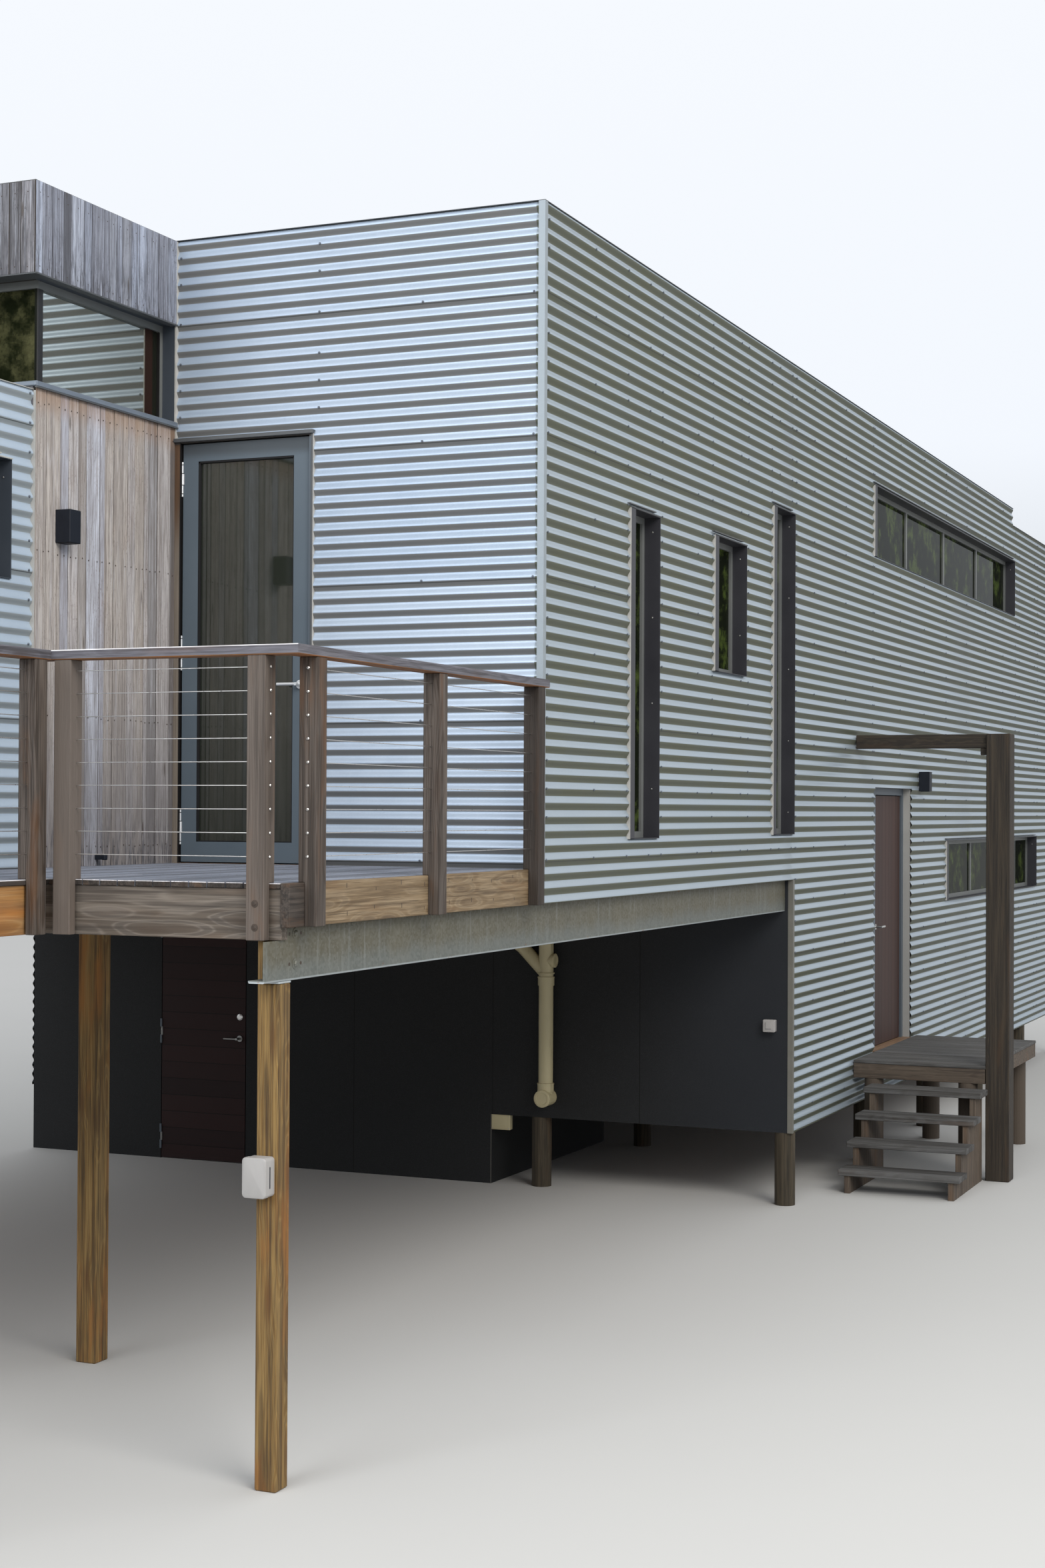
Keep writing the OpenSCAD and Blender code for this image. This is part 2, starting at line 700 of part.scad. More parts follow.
module rail_posts() color("sienna") at_origin() {
    for (y = side_posts) {
        box([rail_lap - rail_post, y - rail_post / 2, upper_floor_z],
            [rail_lap, y + rail_post / 2, rail_under]);
        box([0, y - rail_post / 2, upper_base], [rail_lap, y + rail_post / 2, upper_floor_z]);
    }
    for (x = front_posts) {
        box([x - rail_post / 2, -deck_l - rail_lap, upper_floor_z],
            [x + rail_post / 2, -deck_l - rail_lap + rail_post, rail_under]);
        box([x - rail_post / 2, -deck_l - rail_lap, joist_z], [x + rail_post / 2, -deck_l, deck_under]);
        box([x - rail_post / 2, -deck_l - rail_lap, deck_under],
            [x + rail_post / 2, -deck_l - board_lap, upper_floor_z]);
    }
    for (y = walk_posts) {
        box([-walk_x + rail_lap - rail_post, y - rail_post / 2, upper_floor_z],
            [-walk_x + rail_lap, y + rail_post / 2, rail_under]);
        box([-walk_x, y - rail_post / 2, joist_z], [-walk_x + rail_lap, y + rail_post / 2, deck_under]);
        box([-walk_x + board_lap, y - rail_post / 2, deck_under],
            [-walk_x + rail_lap, y + rail_post / 2, upper_floor_z]);
    }
}

module handrail() color("sienna") at_origin() {
    over = (handrail_w - rail_post) / 2;
    out = rail_lap + over;
    box([out - handrail_w, -deck_l - out, rail_under], [out, -handrail_gap, rail_top]);
    box([-walk_x + out - handrail_w, -deck_l - out, rail_under],
        [out - handrail_w, -deck_l - out + handrail_w, rail_top]);
    box([-walk_x + out - handrail_w, wing_y, rail_under], [-walk_x + out, -deck_l - out, rail_top]);
    box([-link_x, wing_y, rail_under], [-walk_x + out - handrail_w, wing_y + handrail_w, rail_top]);
}

// Wires of one run from a to b: along X where across is true, else along Y
module wire_run(a, b, across)
    for (i = [0 : wires - 1])
        translate([across ? a : 0, across ? 0 : a, upper_floor_z + wire_z + i * wire_gap])
            rotate(across ? [0, 90, 0] : [-90, 0, 0]) cylinder(h = b - a, d = wire_d, $fn = 12);

// Wires pass from each post's face to the next post's face
module front_wires() color("lightgray") at_origin() translate([0, -deck_l - rail_mid, 0])
    wire_run(front_posts[1] + rail_post / 2, front_posts[0] - rail_post / 2, true);

module side_wires() color("lightgray") at_origin() translate([rail_mid, 0, 0])
    for (i = [0 : 1])
        wire_run(side_posts[i + 1] + rail_post / 2, side_posts[i] - rail_post / 2, false);

module walkway_wires() color("lightgray") at_origin() {
    translate([-walk_x + rail_mid, 0, 0])
        for (i = [0 : 1])
            wire_run(walk_posts[i + 1] + rail_post / 2, walk_posts[i] - rail_post / 2, false);
    translate([0, walk_posts[2], 0])
        wire_run(-link_x, -walk_x + rail_lap - rail_post, true);
}

// Panes of a window of length l: how many, and the length of each
function panes(l) = ceil(l / pane_l);
function pane(l) = (l - (panes(l) + 1) * frame_w) / panes(l);

// Outlines of a window l long and h high: its frame, and the panes within the frame
module frame_outline(l, h) difference() {
    square([l, h]);
    pane_outline(l, h);
}
module pane_outline(l, h)
    for (i = [0 : panes(l) - 1])
        translate([frame_w + i * (pane(l) + frame_w), frame_w])
            square([pane(l), h - 2 * frame_w]);

// Places a window's outline in a wall along Y that faces +X (side 1) or -X (side -1)
module in_wall_y(w, face, side, depth, t)
    translate([face - side * depth - (side > 0 ? t : 0), w[0], w[2]])
        rotate([90, 0, 90]) linear_extrude(t) children();
// Places a window's outline in a wall along X that faces -Y (side -1) or +Y (side 1)
module in_wall_x(w, face, side, depth, t)
    translate([w[0], face - side * depth + (side < 0 ? t : 0), w[2]])
        rotate([90, 0, 0]) linear_extrude(t) children();

module each_window(depth, t, glass) {
    for (w = side_windows)
        in_wall_y(w, 0, 1, depth, t) window_shape(w[1], w[3] - w[2], glass);
    for (w = left_windows)
        in_wall_y(w, -main_w, -1, depth, t) window_shape(w[1], w[3] - w[2], glass);
    for (w = wing_windows)
        in_wall_y(w, -link_x, 1, depth, t) window_shape(w[1], w[3] - w[2], glass);
    for (w = back_windows)
        in_wall_x(w, main_l, 1, depth, t) window_shape(w[1], w[3] - w[2], glass);
    for (w = wing_front_windows)
        in_wall_x(w, wing_y, -1, depth, t) window_shape(w[1], w[3] - w[2], glass);
}

module window_shape(l, h, glass) {
    if (glass)
        pane_outline(l, h);
    else
        frame_outline(l, h);
}

// The high corner window's two sides: along the link's side wall and along its front.
// They meet at a flat bar, which is the front side's last stile. The other side has none there.
corner_side_l = link_d - corner_front_in - frame_d;
corner_front_l = main_w - core - link_x - corner_in;
module corner_window(glass, depth, t) {
    translate([-link_x - corner_in - depth - t, -corner_side_l, corner_sill])
        rotate([90, 0, 90]) linear_extrude(t) intersection() {
            translate([-frame_w, 0]) window_shape(corner_side_l + frame_w, corner_h, glass);
            square([corner_side_l, corner_h]);
        }
    translate([-main_w + core, -link_d + corner_front_in + depth + t, corner_sill])
        rotate([90, 0, 0]) linear_extrude(t) intersection() {
            window_shape(corner_front_l + frame_w - corner_bar, corner_h, glass);
            square([corner_front_l, corner_h]);
        }
}

module window_frames() color("dimgray") at_origin() {
    each_window(frame_in, frame_d, false);
    corner_window(false, 0, frame_d);
}

module window_glass() color("lightblue", 0.4) at_origin() {
    each_window(frame_in + (frame_d - glass_t) / 2, glass_t, true);
    corner_window(true, (frame_d - glass_t) / 2, glass_t);
}

// Fixed frames: trim and jambs of the deck door, the store door and the entry
module door_frames() color("dimgray") at_origin() {
    box([-link_x, 0, upper_floor_z], [hinge_x, core, deck_door_head]);
    box([deck_door_right, 0, upper_floor_z], [deck_door_right + door_trim, core, deck_door_head]);
    box([-link_x, 0, deck_door_head],
        [deck_door_right + door_trim, core, deck_door_head + door_trim]);
    side_light = entry_w - 3 * entry_frame - entry_leaf_w;
    for (y = [0, entry_frame + side_light, entry_w - entry_frame])
        box([-core, entry_y + y, lower_floor_z],
            [-core + wall_t / 2, entry_y + y + entry_frame, entry_head]);
    for (y = [entry_frame, 2 * entry_frame + side_light])
        box([-core, entry_y + y, entry_head - entry_frame],
            [-core + wall_t / 2, entry_y + y + (y == entry_frame ? side_light : entry_leaf_w),
             entry_head]);
    box([-core + wall_t / 4 - glass_t / 2, entry_y + entry_frame, lower_floor_z],
        [-core + wall_t / 4 + glass_t / 2, entry_y + entry_frame + side_light,
         entry_head - entry_frame]);
    translate([hinge_x + knuckle_r, leaf_setback - leaf_t - knuckle_r, upper_floor_z + leaf_gap])
        fixed_knuckles(leaf_h, 0);
    translate([-store_door_x + knuckle_r, lower_y - knuckle_r, leaf_gap])
        fixed_knuckles(store_leaf_h, knuckle_d);
    translate([-core - knuckle_r, entry_hinge_y - knuckle_r, lower_floor_z + leaf_gap])
        rotate(-90) fixed_knuckles(entry_leaf_h, knuckle_d);
}

// Lever handle on a leaf's outer face, pointing towards the hinges
module lever(side) {
    rotate([90, 0, 0]) {
        cylinder(h = rose_t, d = rose_d);
        cylinder(h = lever_reach + lever_d, d = lever_d);
    }
    translate([0, -lever_reach - lever_d / 2, 0])
        rotate([0, side * 90, 0]) cylinder(h = lever_l, d = lever_d);
}

// Hinges whose axis is the Z axis, for a leaf h high that lies at +X with its face towards -Y
knuckle_r = knuckle_d / 2;
hinge_places = [0.083, 0.5, 0.917];

// The middle knuckle of each hinge and its plate, which lies on the leaf's face
module moving_knuckles(h)
    for (z = hinge_places) translate([0, 0, z * h - knuckle_h / 2]) {
        cylinder(h = knuckle_h, d = knuckle_d);
        cube([knuckle_d, knuckle_r, knuckle_h]);
    }

// The outer knuckles of each hinge and their plates, which reach lap past the jamb's face
module fixed_knuckles(h, lap)
    for (z = hinge_places, end = [-1, 1]) translate([0, 0, z * h + (end - 0.5) * knuckle_h]) {
        cylinder(h = knuckle_h, d = knuckle_d);
        translate([-knuckle_r - lap, 0, 0]) cube([knuckle_r + lap, knuckle_r, knuckle_h]);
    }

// Glazed leaf with a lever handle, and hinge knuckles on its outer edge
module deck_door() color("slategray") at_origin()
    translate([hinge_x, leaf_setback - leaf_t, upper_floor_z + leaf_gap]) {
        difference() {
            translate([leaf_gap, 0, 0]) cube([leaf_x, leaf_t, leaf_h]);
            translate([leaf_gap + stile_w, -eps, bottom_rail])
                cube([leaf_x - 2 * stile_w, leaf_t + 2 * eps, leaf_h - bottom_rail - stile_w]);
        }
        translate([knuckle_r, -knuckle_r, 0]) moving_knuckles(leaf_h);
        translate([leaf_gap + leaf_x - stile_w / 2, 0, handle_z]) lever(-1);
    }

module deck_door_glass() color("lightblue", 0.4) at_origin()
    translate([hinge_x + leaf_gap + stile_w, leaf_setback - (leaf_t + glass_t) / 2,
               upper_floor_z + leaf_gap + bottom_rail])
        cube([leaf_x - 2 * stile_w, glass_t, leaf_h - bottom_rail - stile_w]);

// Boarded leaf of the store, hinged on its left and opening outwards
module store_door() color("brown") at_origin()
    translate([-store_door_x, lower_y, leaf_gap]) {
        translate([leaf_gap, 0, 0]) cube([store_door_w - 2 * leaf_gap, leaf_t, store_leaf_h]);
        translate([knuckle_r, -knuckle_r, 0]) moving_knuckles(store_leaf_h);
        translate([store_door_w - leaf_gap - stile_w / 2, 0, handle_z]) lever(-1);
    }

// Boarded leaf of the entry, hinged at its far side and opening inwards
module entry_door() color("brown") at_origin()
    translate([-core, entry_hinge_y, lower_floor_z + leaf_gap]) {
        translate([0, -entry_leaf_w + leaf_gap, 0])
            cube([leaf_t, entry_leaf_w - 2 * leaf_gap, entry_leaf_h]);
        translate([-knuckle_r, -knuckle_r, 0]) rotate(-90) moving_knuckles(entry_leaf_h);
        translate([leaf_t, -entry_leaf_w + leaf_gap + stile_w / 2, handle_z])
            rotate([0, 0, 90]) lever(1);
    }

// Boarded landing beside the entry, on two short posts and the lower floor's edge
module landing() color("dimgray") at_origin() {
    box([0, landing_y, lower_floor_z - landing_t],
        [landing_w, landing_y + landing_l, lower_floor_z]);
    for (x = [stump_d, landing_w - stump_d], y = [landing_y, landing_y + landing_l - stump_d])
        translate([x, y + stump_d / 2, 0]) cylinder(h = lower_floor_z - landing_t, d = stump_d);
}

// Open treads on two stringers, down from the landing towards the front
module steps() color("dimgray") at_origin() {
    top = lower_floor_z - rise;
    for (i = [0 : treads - 1])
        translate([tread_x, landing_y - i * going - tread_w, top - i * rise - tread_t])
            cube([tread_l, tread_w, tread_t]);
    for (x = [tread_x + stringer_t, tread_x + tread_l - 2 * stringer_t])
        for (i = [0 : treads - 1])
            box([x, landing_y - (i + 1) * going, 0],
                [x + stringer_t, landing_y - i * going, top - i * rise - tread_t]);
}

// Post beside the landing and a beam from it to the side wall
module porch_frame() color("dimgray") at_origin() {
    box([landing_w, landing_y, 0],
        [landing_w + porch_post, landing_y + porch_post, porch_z]);
    box([0, landing_y + porch_post / 4, porch_z - porch_beam_h],
        [landing_w, landing_y + porch_post * 3 / 4, porch_z]);
}

// Waste pipe in front of the raised wall, with its branch, two capped openings and collars
branch_rise = branch_l / sqrt(2);
module waste_pipe() color("beige") at_origin()
    translate([-pipe_x, lower_y - pipe_d / 2 - pipe_off, pipe_foot]) {
        cylinder(h = upper_base - pipe_foot, d = pipe_d);
        translate([0, 0, pipe_branch]) rotate([0, -45, 0]) cylinder(h = branch_l, d = branch_d);
        translate([-branch_rise, 0, pipe_branch + branch_rise]) {
            sphere(d = pipe_d);
            cylinder(h = upper_base - pipe_foot - pipe_branch - branch_rise, d = branch_d);
        }
        translate([0, 0, cap_z]) rotate([0, 90, 0]) cylinder(h = cap_l, d = pipe_d - collar_lap);
        translate([0, pipe_d / 2 + pipe_off, 0]) rotate([90, 0, 0])
            cylinder(h = foot_l + pipe_d / 2 + pipe_off, d = pipe_d + collar_lap);
        for (z = pipe_collars) translate([0, 0, z]) cylinder(h = collar_h, d = pipe_d + collar_lap);
        for (z = pipe_clips) box([-clip_w / 2, 0, z], [clip_w / 2, pipe_d / 2 + pipe_off, z + clip_h]);
    }

// Small boxes on the walls: size along the wall, depth and height
module fitting(size, at) translate(at) cube(size);

// Two wall lights, door stop, socket, junction box and sensor
module wall_fittings() color("dimgray") at_origin() {
    fitting([light_d, light_w, light_h], [-link_x, -light_in, light_z]);
    fitting([stop_d, stop_w, stop_w], [-link_x, -stop_in, upper_floor_z + stop_w]);
    fitting([light_d, light_w, light_h], [0, entry_light_y, entry_light_z]);
    fitting([socket_w, socket_d, socket_w], [-socket_in, lower_y - socket_d, socket_z]);
    fitting([junction_w, socket_d, junction_h], [-raised_w, lower_y, low_wall_z - junction_h]);
    fitting([sensor_w, sensor_d, sensor_h],
        [-sensor_x - sensor_w / 2, -front_post_y - post_w / 2 - sensor_d, sensor_z]);
}

front_cladding();
side_cladding();
rear_cladding();
front_wall();
front_wall_over_door();
side_wall_front();
side_wall_low();
side_wall_over_entry();
side_wall_rear();
back_wall();
left_wall();
wing_wall_right();
wing_wall_front();
undercroft_wall_left();
undercroft_wall_over_door();
undercroft_wall_right();
store_walls();
upper_floor();
lower_floor();
main_roof();
wing_roof();
flashings();
stumps();
undercroft_posts();
side_beam();
bearers();
deck_boards();
deck_frame();
rail_posts();
handrail();
front_wires();
side_wires();
walkway_wires();
timber_wall();
timber_parapet();
window_frames();
window_glass();
door_frames();
deck_door();
deck_door_glass();
store_door();
entry_door();
landing();
steps();
porch_frame();
waste_pipe();
wall_fittings();
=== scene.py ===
import bpy, bmesh
import numpy as np
from mathutils import Matrix, Vector


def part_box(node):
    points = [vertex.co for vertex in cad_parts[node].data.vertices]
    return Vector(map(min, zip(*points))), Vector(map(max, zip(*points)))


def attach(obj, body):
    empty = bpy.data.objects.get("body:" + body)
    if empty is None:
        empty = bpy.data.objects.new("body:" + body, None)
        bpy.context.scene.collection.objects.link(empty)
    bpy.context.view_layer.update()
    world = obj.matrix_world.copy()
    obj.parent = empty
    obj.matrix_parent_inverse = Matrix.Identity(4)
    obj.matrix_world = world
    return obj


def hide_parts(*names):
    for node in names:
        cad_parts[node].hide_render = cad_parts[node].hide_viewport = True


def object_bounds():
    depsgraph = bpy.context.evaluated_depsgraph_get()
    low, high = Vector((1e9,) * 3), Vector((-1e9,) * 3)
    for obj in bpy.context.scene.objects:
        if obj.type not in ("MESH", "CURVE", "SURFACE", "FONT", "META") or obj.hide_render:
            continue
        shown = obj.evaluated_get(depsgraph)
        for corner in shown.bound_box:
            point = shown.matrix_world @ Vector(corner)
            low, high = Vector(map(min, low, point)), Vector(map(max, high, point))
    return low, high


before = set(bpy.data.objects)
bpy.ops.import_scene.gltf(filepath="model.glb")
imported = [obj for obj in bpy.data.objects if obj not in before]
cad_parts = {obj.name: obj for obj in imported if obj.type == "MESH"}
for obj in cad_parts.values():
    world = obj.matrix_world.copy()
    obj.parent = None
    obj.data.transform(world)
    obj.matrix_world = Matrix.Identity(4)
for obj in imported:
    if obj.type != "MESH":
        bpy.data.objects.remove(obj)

# Sizes are metres from the foot of the near corner, where the front wall meets the long side wall.
cad_lo, cad_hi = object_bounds()
corner = np.array([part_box("side_cladding")[1].x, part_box("side_cladding")[0].y, 0.0])
rng = np.random.default_rng(11)


# The view: from the right of the deck, level with its floor and turned to the left. A long lens
# held almost level keeps the walls upright.
yaw, pitch, roll = np.radians((23.313, 0.662, 0.2955))
ahead = np.array([-np.sin(yaw) * np.cos(pitch), np.cos(yaw) * np.cos(pitch), np.sin(pitch)])
level = np.array([np.cos(yaw), np.sin(yaw), 0.0])
rise = np.cross(level, ahead)
right, up = np.cos(roll) * level + np.sin(roll) * rise, np.cos(roll) * rise - np.sin(roll) * level
stand = corner + np.array([4.557, -10.839, 2.87])
film_high, focal_length, picture_high = 36.0, 3320, 2352
lens = bpy.data.cameras.new("view")
lens.sensor_fit, lens.sensor_height = "VERTICAL", film_high
lens.lens = film_high * focal_length / picture_high
lens.clip_end = 300.0
view = bpy.data.objects.new("view", lens)
view.matrix_world = Matrix([[right[i], up[i], -ahead[i], stand[i]] for i in range(3)] + [[0, 0, 0, 1]])
bpy.context.scene.collection.objects.link(view)
bpy.context.scene.camera = view
bpy.context.scene.view_settings.view_transform = "Standard"


# The light: a plain bright surround that fades to grey below, with two very wide soft panels high
# up, one to the right of the deck and one before it.
around = bpy.data.worlds.new("surround")
bpy.context.scene.world = around
around.use_nodes = True
tree = around.node_tree
where, split, ramp, lift = [tree.nodes.new("ShaderNode" + kind)
                            for kind in ("TexCoord", "SeparateXYZ", "ValToRGB", "Math")]
for stop, colour in zip(ramp.color_ramp.elements, ((0.1, 0.105, 0.1, 1), (1, 1, 1, 1))):
    stop.color = colour
for place, colour in ((0.44, (0.16, 0.17, 0.15, 1)), (0.5, (0.55, 0.58, 0.6, 1)), (0.58, (0.9, 0.94, 1.0, 1))):
    ramp.color_ramp.elements.new(place).color = colour
lift.operation = "MULTIPLY_ADD"
lift.inputs[1].default_value = lift.inputs[2].default_value = 0.5
tree.links.new(where.outputs["Generated"], split.inputs[0])
tree.links.new(split.outputs["Z"], lift.inputs[0])
tree.links.new(lift.outputs[0], ramp.inputs[0])
tree.links.new(ramp.outputs[0], tree.nodes["Background"].inputs["Color"])
tree.nodes["Background"].inputs["Strength"].default_value = 1.0
for name, place, aim, wide, power, tint in (
        ("key_panel", (16.0, -12.0, 17.0), (-1.0, 3.0, 2.5), 14.0, 4200.0, (1.0, 0.96, 0.9)),
        ("front_panel", (-5.0, -22.0, 12.0), (-1.0, 0.0, 3.5), 14.0, 2400.0, (0.92, 0.96, 1.0))):
    panel = bpy.data.lights.new(name, "AREA")
    panel.shape, panel.size, panel.energy, panel.color = "DISK", wide, power, tint
    lamp = bpy.data.objects.new(name, panel)
    turned_to = (Vector(aim) - Vector(place)).to_track_quat("-Z", "Y").to_matrix().to_4x4()
    lamp.matrix_world = Matrix.Translation(Vector(corner) + Vector(place)) @ turned_to
    bpy.context.scene.collection.objects.link(lamp)


# The wall sheets: galvanised steel rolled into corrugations 76 mm apart and 17 mm deep, laid level,
# each sheet ten corrugations high and lapped over the one below, screwed through the crests.
class Paint:
    """A socket in a material. Sums and comparisons on it add the material's Math nodes."""
    def __init__(self, tree, socket=None):
        self.tree, self.socket, self.shader = tree, socket, tree.nodes["Principled BSDF"]

    def node(self, kind, settings=None, inputs=None, out=0):
        """Adds any node: its settings first, then the values or links of its sockets."""
        made = self.tree.nodes.new("ShaderNode" + kind)
        for key, value in (settings or {}).items():
            setattr(made, key, value)
        for key, value in (inputs or {}).items():
            if isinstance(value, Paint):
                self.tree.links.new(value.socket, made.inputs[key])
            else:
                made.inputs[key].default_value = value
        return Paint(self.tree, made.outputs[out])

    def sum(self, operation, a, b=0.0):
        return self.node("Math", {"operation": operation}, {0: a, 1: b})

    def part(self, i):
        """One of the three parts of a vector."""
        return self.node("SeparateXYZ", None, {0: self}, i)

    def vector(self, x, y, z):
        return self.node("CombineXYZ", None, {0: x, 1: y, 2: z})

    def noted(self, name, out):
        """What the mesh notes at each point: a vector by output 1, a value by output 2."""
        return self.node("Attribute", {"attribute_name": name}, out=out)

    def __add__(self, b): return self.sum("ADD", self, b)
    def __radd__(self, b): return self.sum("ADD", b, self)
    def __sub__(self, b): return self.sum("SUBTRACT", self, b)
    def __rsub__(self, b): return self.sum("SUBTRACT", b, self)
    def __mul__(self, b): return self.sum("MULTIPLY", self, b)
    def __rmul__(self, b): return self.sum("MULTIPLY", b, self)
    def __truediv__(self, b): return self.sum("DIVIDE", self, b)
    def __floordiv__(self, b): return self.sum("FLOOR", self / b)
    def __mod__(self, b): return self.sum("FLOORED_MODULO", self, b)
    def __gt__(self, b): return self.sum("GREATER_THAN", self, b)
    def __lt__(self, b): return self.sum("LESS_THAN", self, b)
    def __abs__(self): return self.sum("ABSOLUTE", self)


def finish(name, **fixed):
    """A new material with its fixed values on the shader's own sockets, and a Paint to build on."""
    material = bpy.data.materials.new(name)
    material.use_nodes = True
    paint = Paint(material.node_tree)
    for key, value in fixed.items():
        paint.shader.inputs[key.replace("_", " ").title().replace("Ior", "IOR")].default_value = value
    return material, paint


def wear(paint, colour, rough=None, metal=None, alpha=None, bump=None, strength=0.3, depth=0.002):
    """Links what varies over the surface to the shader, the bump through one Bump node."""
    for key, value in (("Base Color", colour), ("Roughness", rough), ("Metallic", metal), ("Alpha", alpha)):
        if value is not None:
            paint.tree.links.new(value.socket, paint.shader.inputs[key])
    if bump is not None:
        normal = paint.node("Bump", None, {"Strength": strength, "Distance": depth, "Height": bump})
        paint.tree.links.new(normal.socket, paint.shader.inputs["Normal"])


def at(paint):
    """The point in the cabin's own frame, from the near corner, and its three parts."""
    point = paint.node("Mapping", None, {"Vector": paint.node("TexCoord", out=3), "Location": tuple(-corner)})
    return (point,) + tuple(point.part(i) for i in range(3))


def stretched(vector, scale):
    """A vector times a scale: one number, or one for each direction."""
    return vector.node("Mapping", None, {"Vector": vector, "Scale": tuple(np.full(3, scale, float))})


def cloud(vector, scale, detail=4.0, rough=0.55, bend=0.0):
    """Soft noise, finer where the scale is greater."""
    return vector.node("TexNoise", None, {"Vector": stretched(vector, scale), "Scale": 1.0, "Detail": detail,
                                          "Roughness": rough, "Distortion": bend})


def cells(vector, scale=1.0, out=0):
    """Cells round scattered points: the distance from the nearest, or by output 1 its chance colour."""
    return vector.node("TexVoronoi", {"feature": "F1"}, {"Vector": vector, "Scale": scale}, out)


def band(value, low, high):
    """0 below low, 1 above high and smooth between; turned round where low is the greater."""
    return value.node("MapRange", {"interpolation_type": "SMOOTHSTEP"},
                      {"Value": value, "From Min": low, "From Max": high})


def within(value, low, high):
    """1 between low and high, 0 outside."""
    return (value > low) * (value < high)


def mixed(share, a, b):
    """Colour a where share is 0 and colour b where it is 1."""
    a, b = [c if isinstance(c, Paint) else tuple(c) + (1.0,) for c in (a, b)]
    return share.node("Mix", {"data_type": "RGBA"}, {0: share, 6: a, 7: b}, 2)


def coats(colour, *layers):
    """Lays coats over a colour one after another, each given as its share and then its colour."""
    for share, coat in zip(layers[::2], layers[1::2]):
        colour = mixed(share, colour, coat)
    return colour


def mottled(name, scale, dark, pale, rough, spread, detail=3.0, grit=0.55, bump=0.0, **fixed):
    """A plain finish: one noise takes the colour from dark to pale and adds up to spread to rough."""
    material, paint = finish(name, **fixed)
    noise = cloud(at(paint)[0], scale, detail, grit)
    wear(paint, mixed(noise, dark, pale), rough + spread * noise, bump=noise if bump else None, strength=bump)
    return material


def build(name, shapes, finishes, body="house", smooth=None, instead=()):
    """Puts shapes into one mesh. A shape is (points from the near corner, list of face arrays,
    number of its finish, point attributes); attributes that a shape lacks are 0."""
    points, faces, marks, kinds, start = [], [], [], {}, 0
    for co, groups, number, notes in shapes:
        for key, values in notes.items():
            kinds.setdefault(key, []).append((start, np.asarray(values, float)))
        for group in groups:
            faces += (np.asarray(group) + start).tolist()
            marks += [number] * len(group)
        points.append(np.asarray(co, float).reshape(-1, 3) + corner)
        start += len(points[-1])
    mesh = bpy.data.meshes.new(name)
    mesh.from_pydata(np.concatenate(points), [], faces)
    for key, runs in kinds.items():
        size = runs[0][1].shape[1] if runs[0][1].ndim > 1 else 1
        values = np.zeros((start, size))
        for first, part in runs:
            values[first:first + len(part)] = part.reshape(-1, size)
        layer = mesh.attributes.new(key, "FLOAT_VECTOR" if size == 3 else "FLOAT", "POINT")
        layer.data.foreach_set("vector" if size == 3 else "value", values.ravel())
    for material in finishes:
        mesh.materials.append(material)
    mesh.polygons.foreach_set("material_index", marks)
    if smooth is not None:
        mesh.shade_smooth()
        mesh.set_sharp_from_angle(angle=smooth)
    mesh.update()
    piece = bpy.data.objects.new(name, mesh)
    bpy.context.scene.collection.objects.link(piece)
    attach(piece, body)
    if instead:
        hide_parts(*instead)
    return piece


def solids(node):
    """The boxes (lowest, highest corner) of a CAD node's separate solids, found on a merged copy."""
    work = bmesh.new()
    work.from_mesh(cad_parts[node].data)
    bmesh.ops.remove_doubles(work, verts=work.verts, dist=1e-5)
    seen, boxes = set(), []
    for vert in work.verts:
        if vert in seen:
            continue
        seen.add(vert)
        island, edge = [], [vert]
        while edge:
            here = edge.pop()
            island.append(tuple(here.co))
            for link in here.link_edges:
                other = link.other_vert(here)
                if other not in seen:
                    seen.add(other)
                    edge.append(other)
        island = np.array(island) - corner
        boxes.append((island.min(0), island.max(0)))
    work.free()
    return boxes


def local(node):
    """The lowest and highest corner of a CAD node, from the near corner."""
    return [np.array(c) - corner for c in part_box(node)]


wave_pitch, wave_depth, lap, cover = 0.0762, 0.0165, 0.001, 10
sheet_high, seam_rise, seam_gap = wave_pitch * cover, 1.88 * wave_pitch, 2e-4


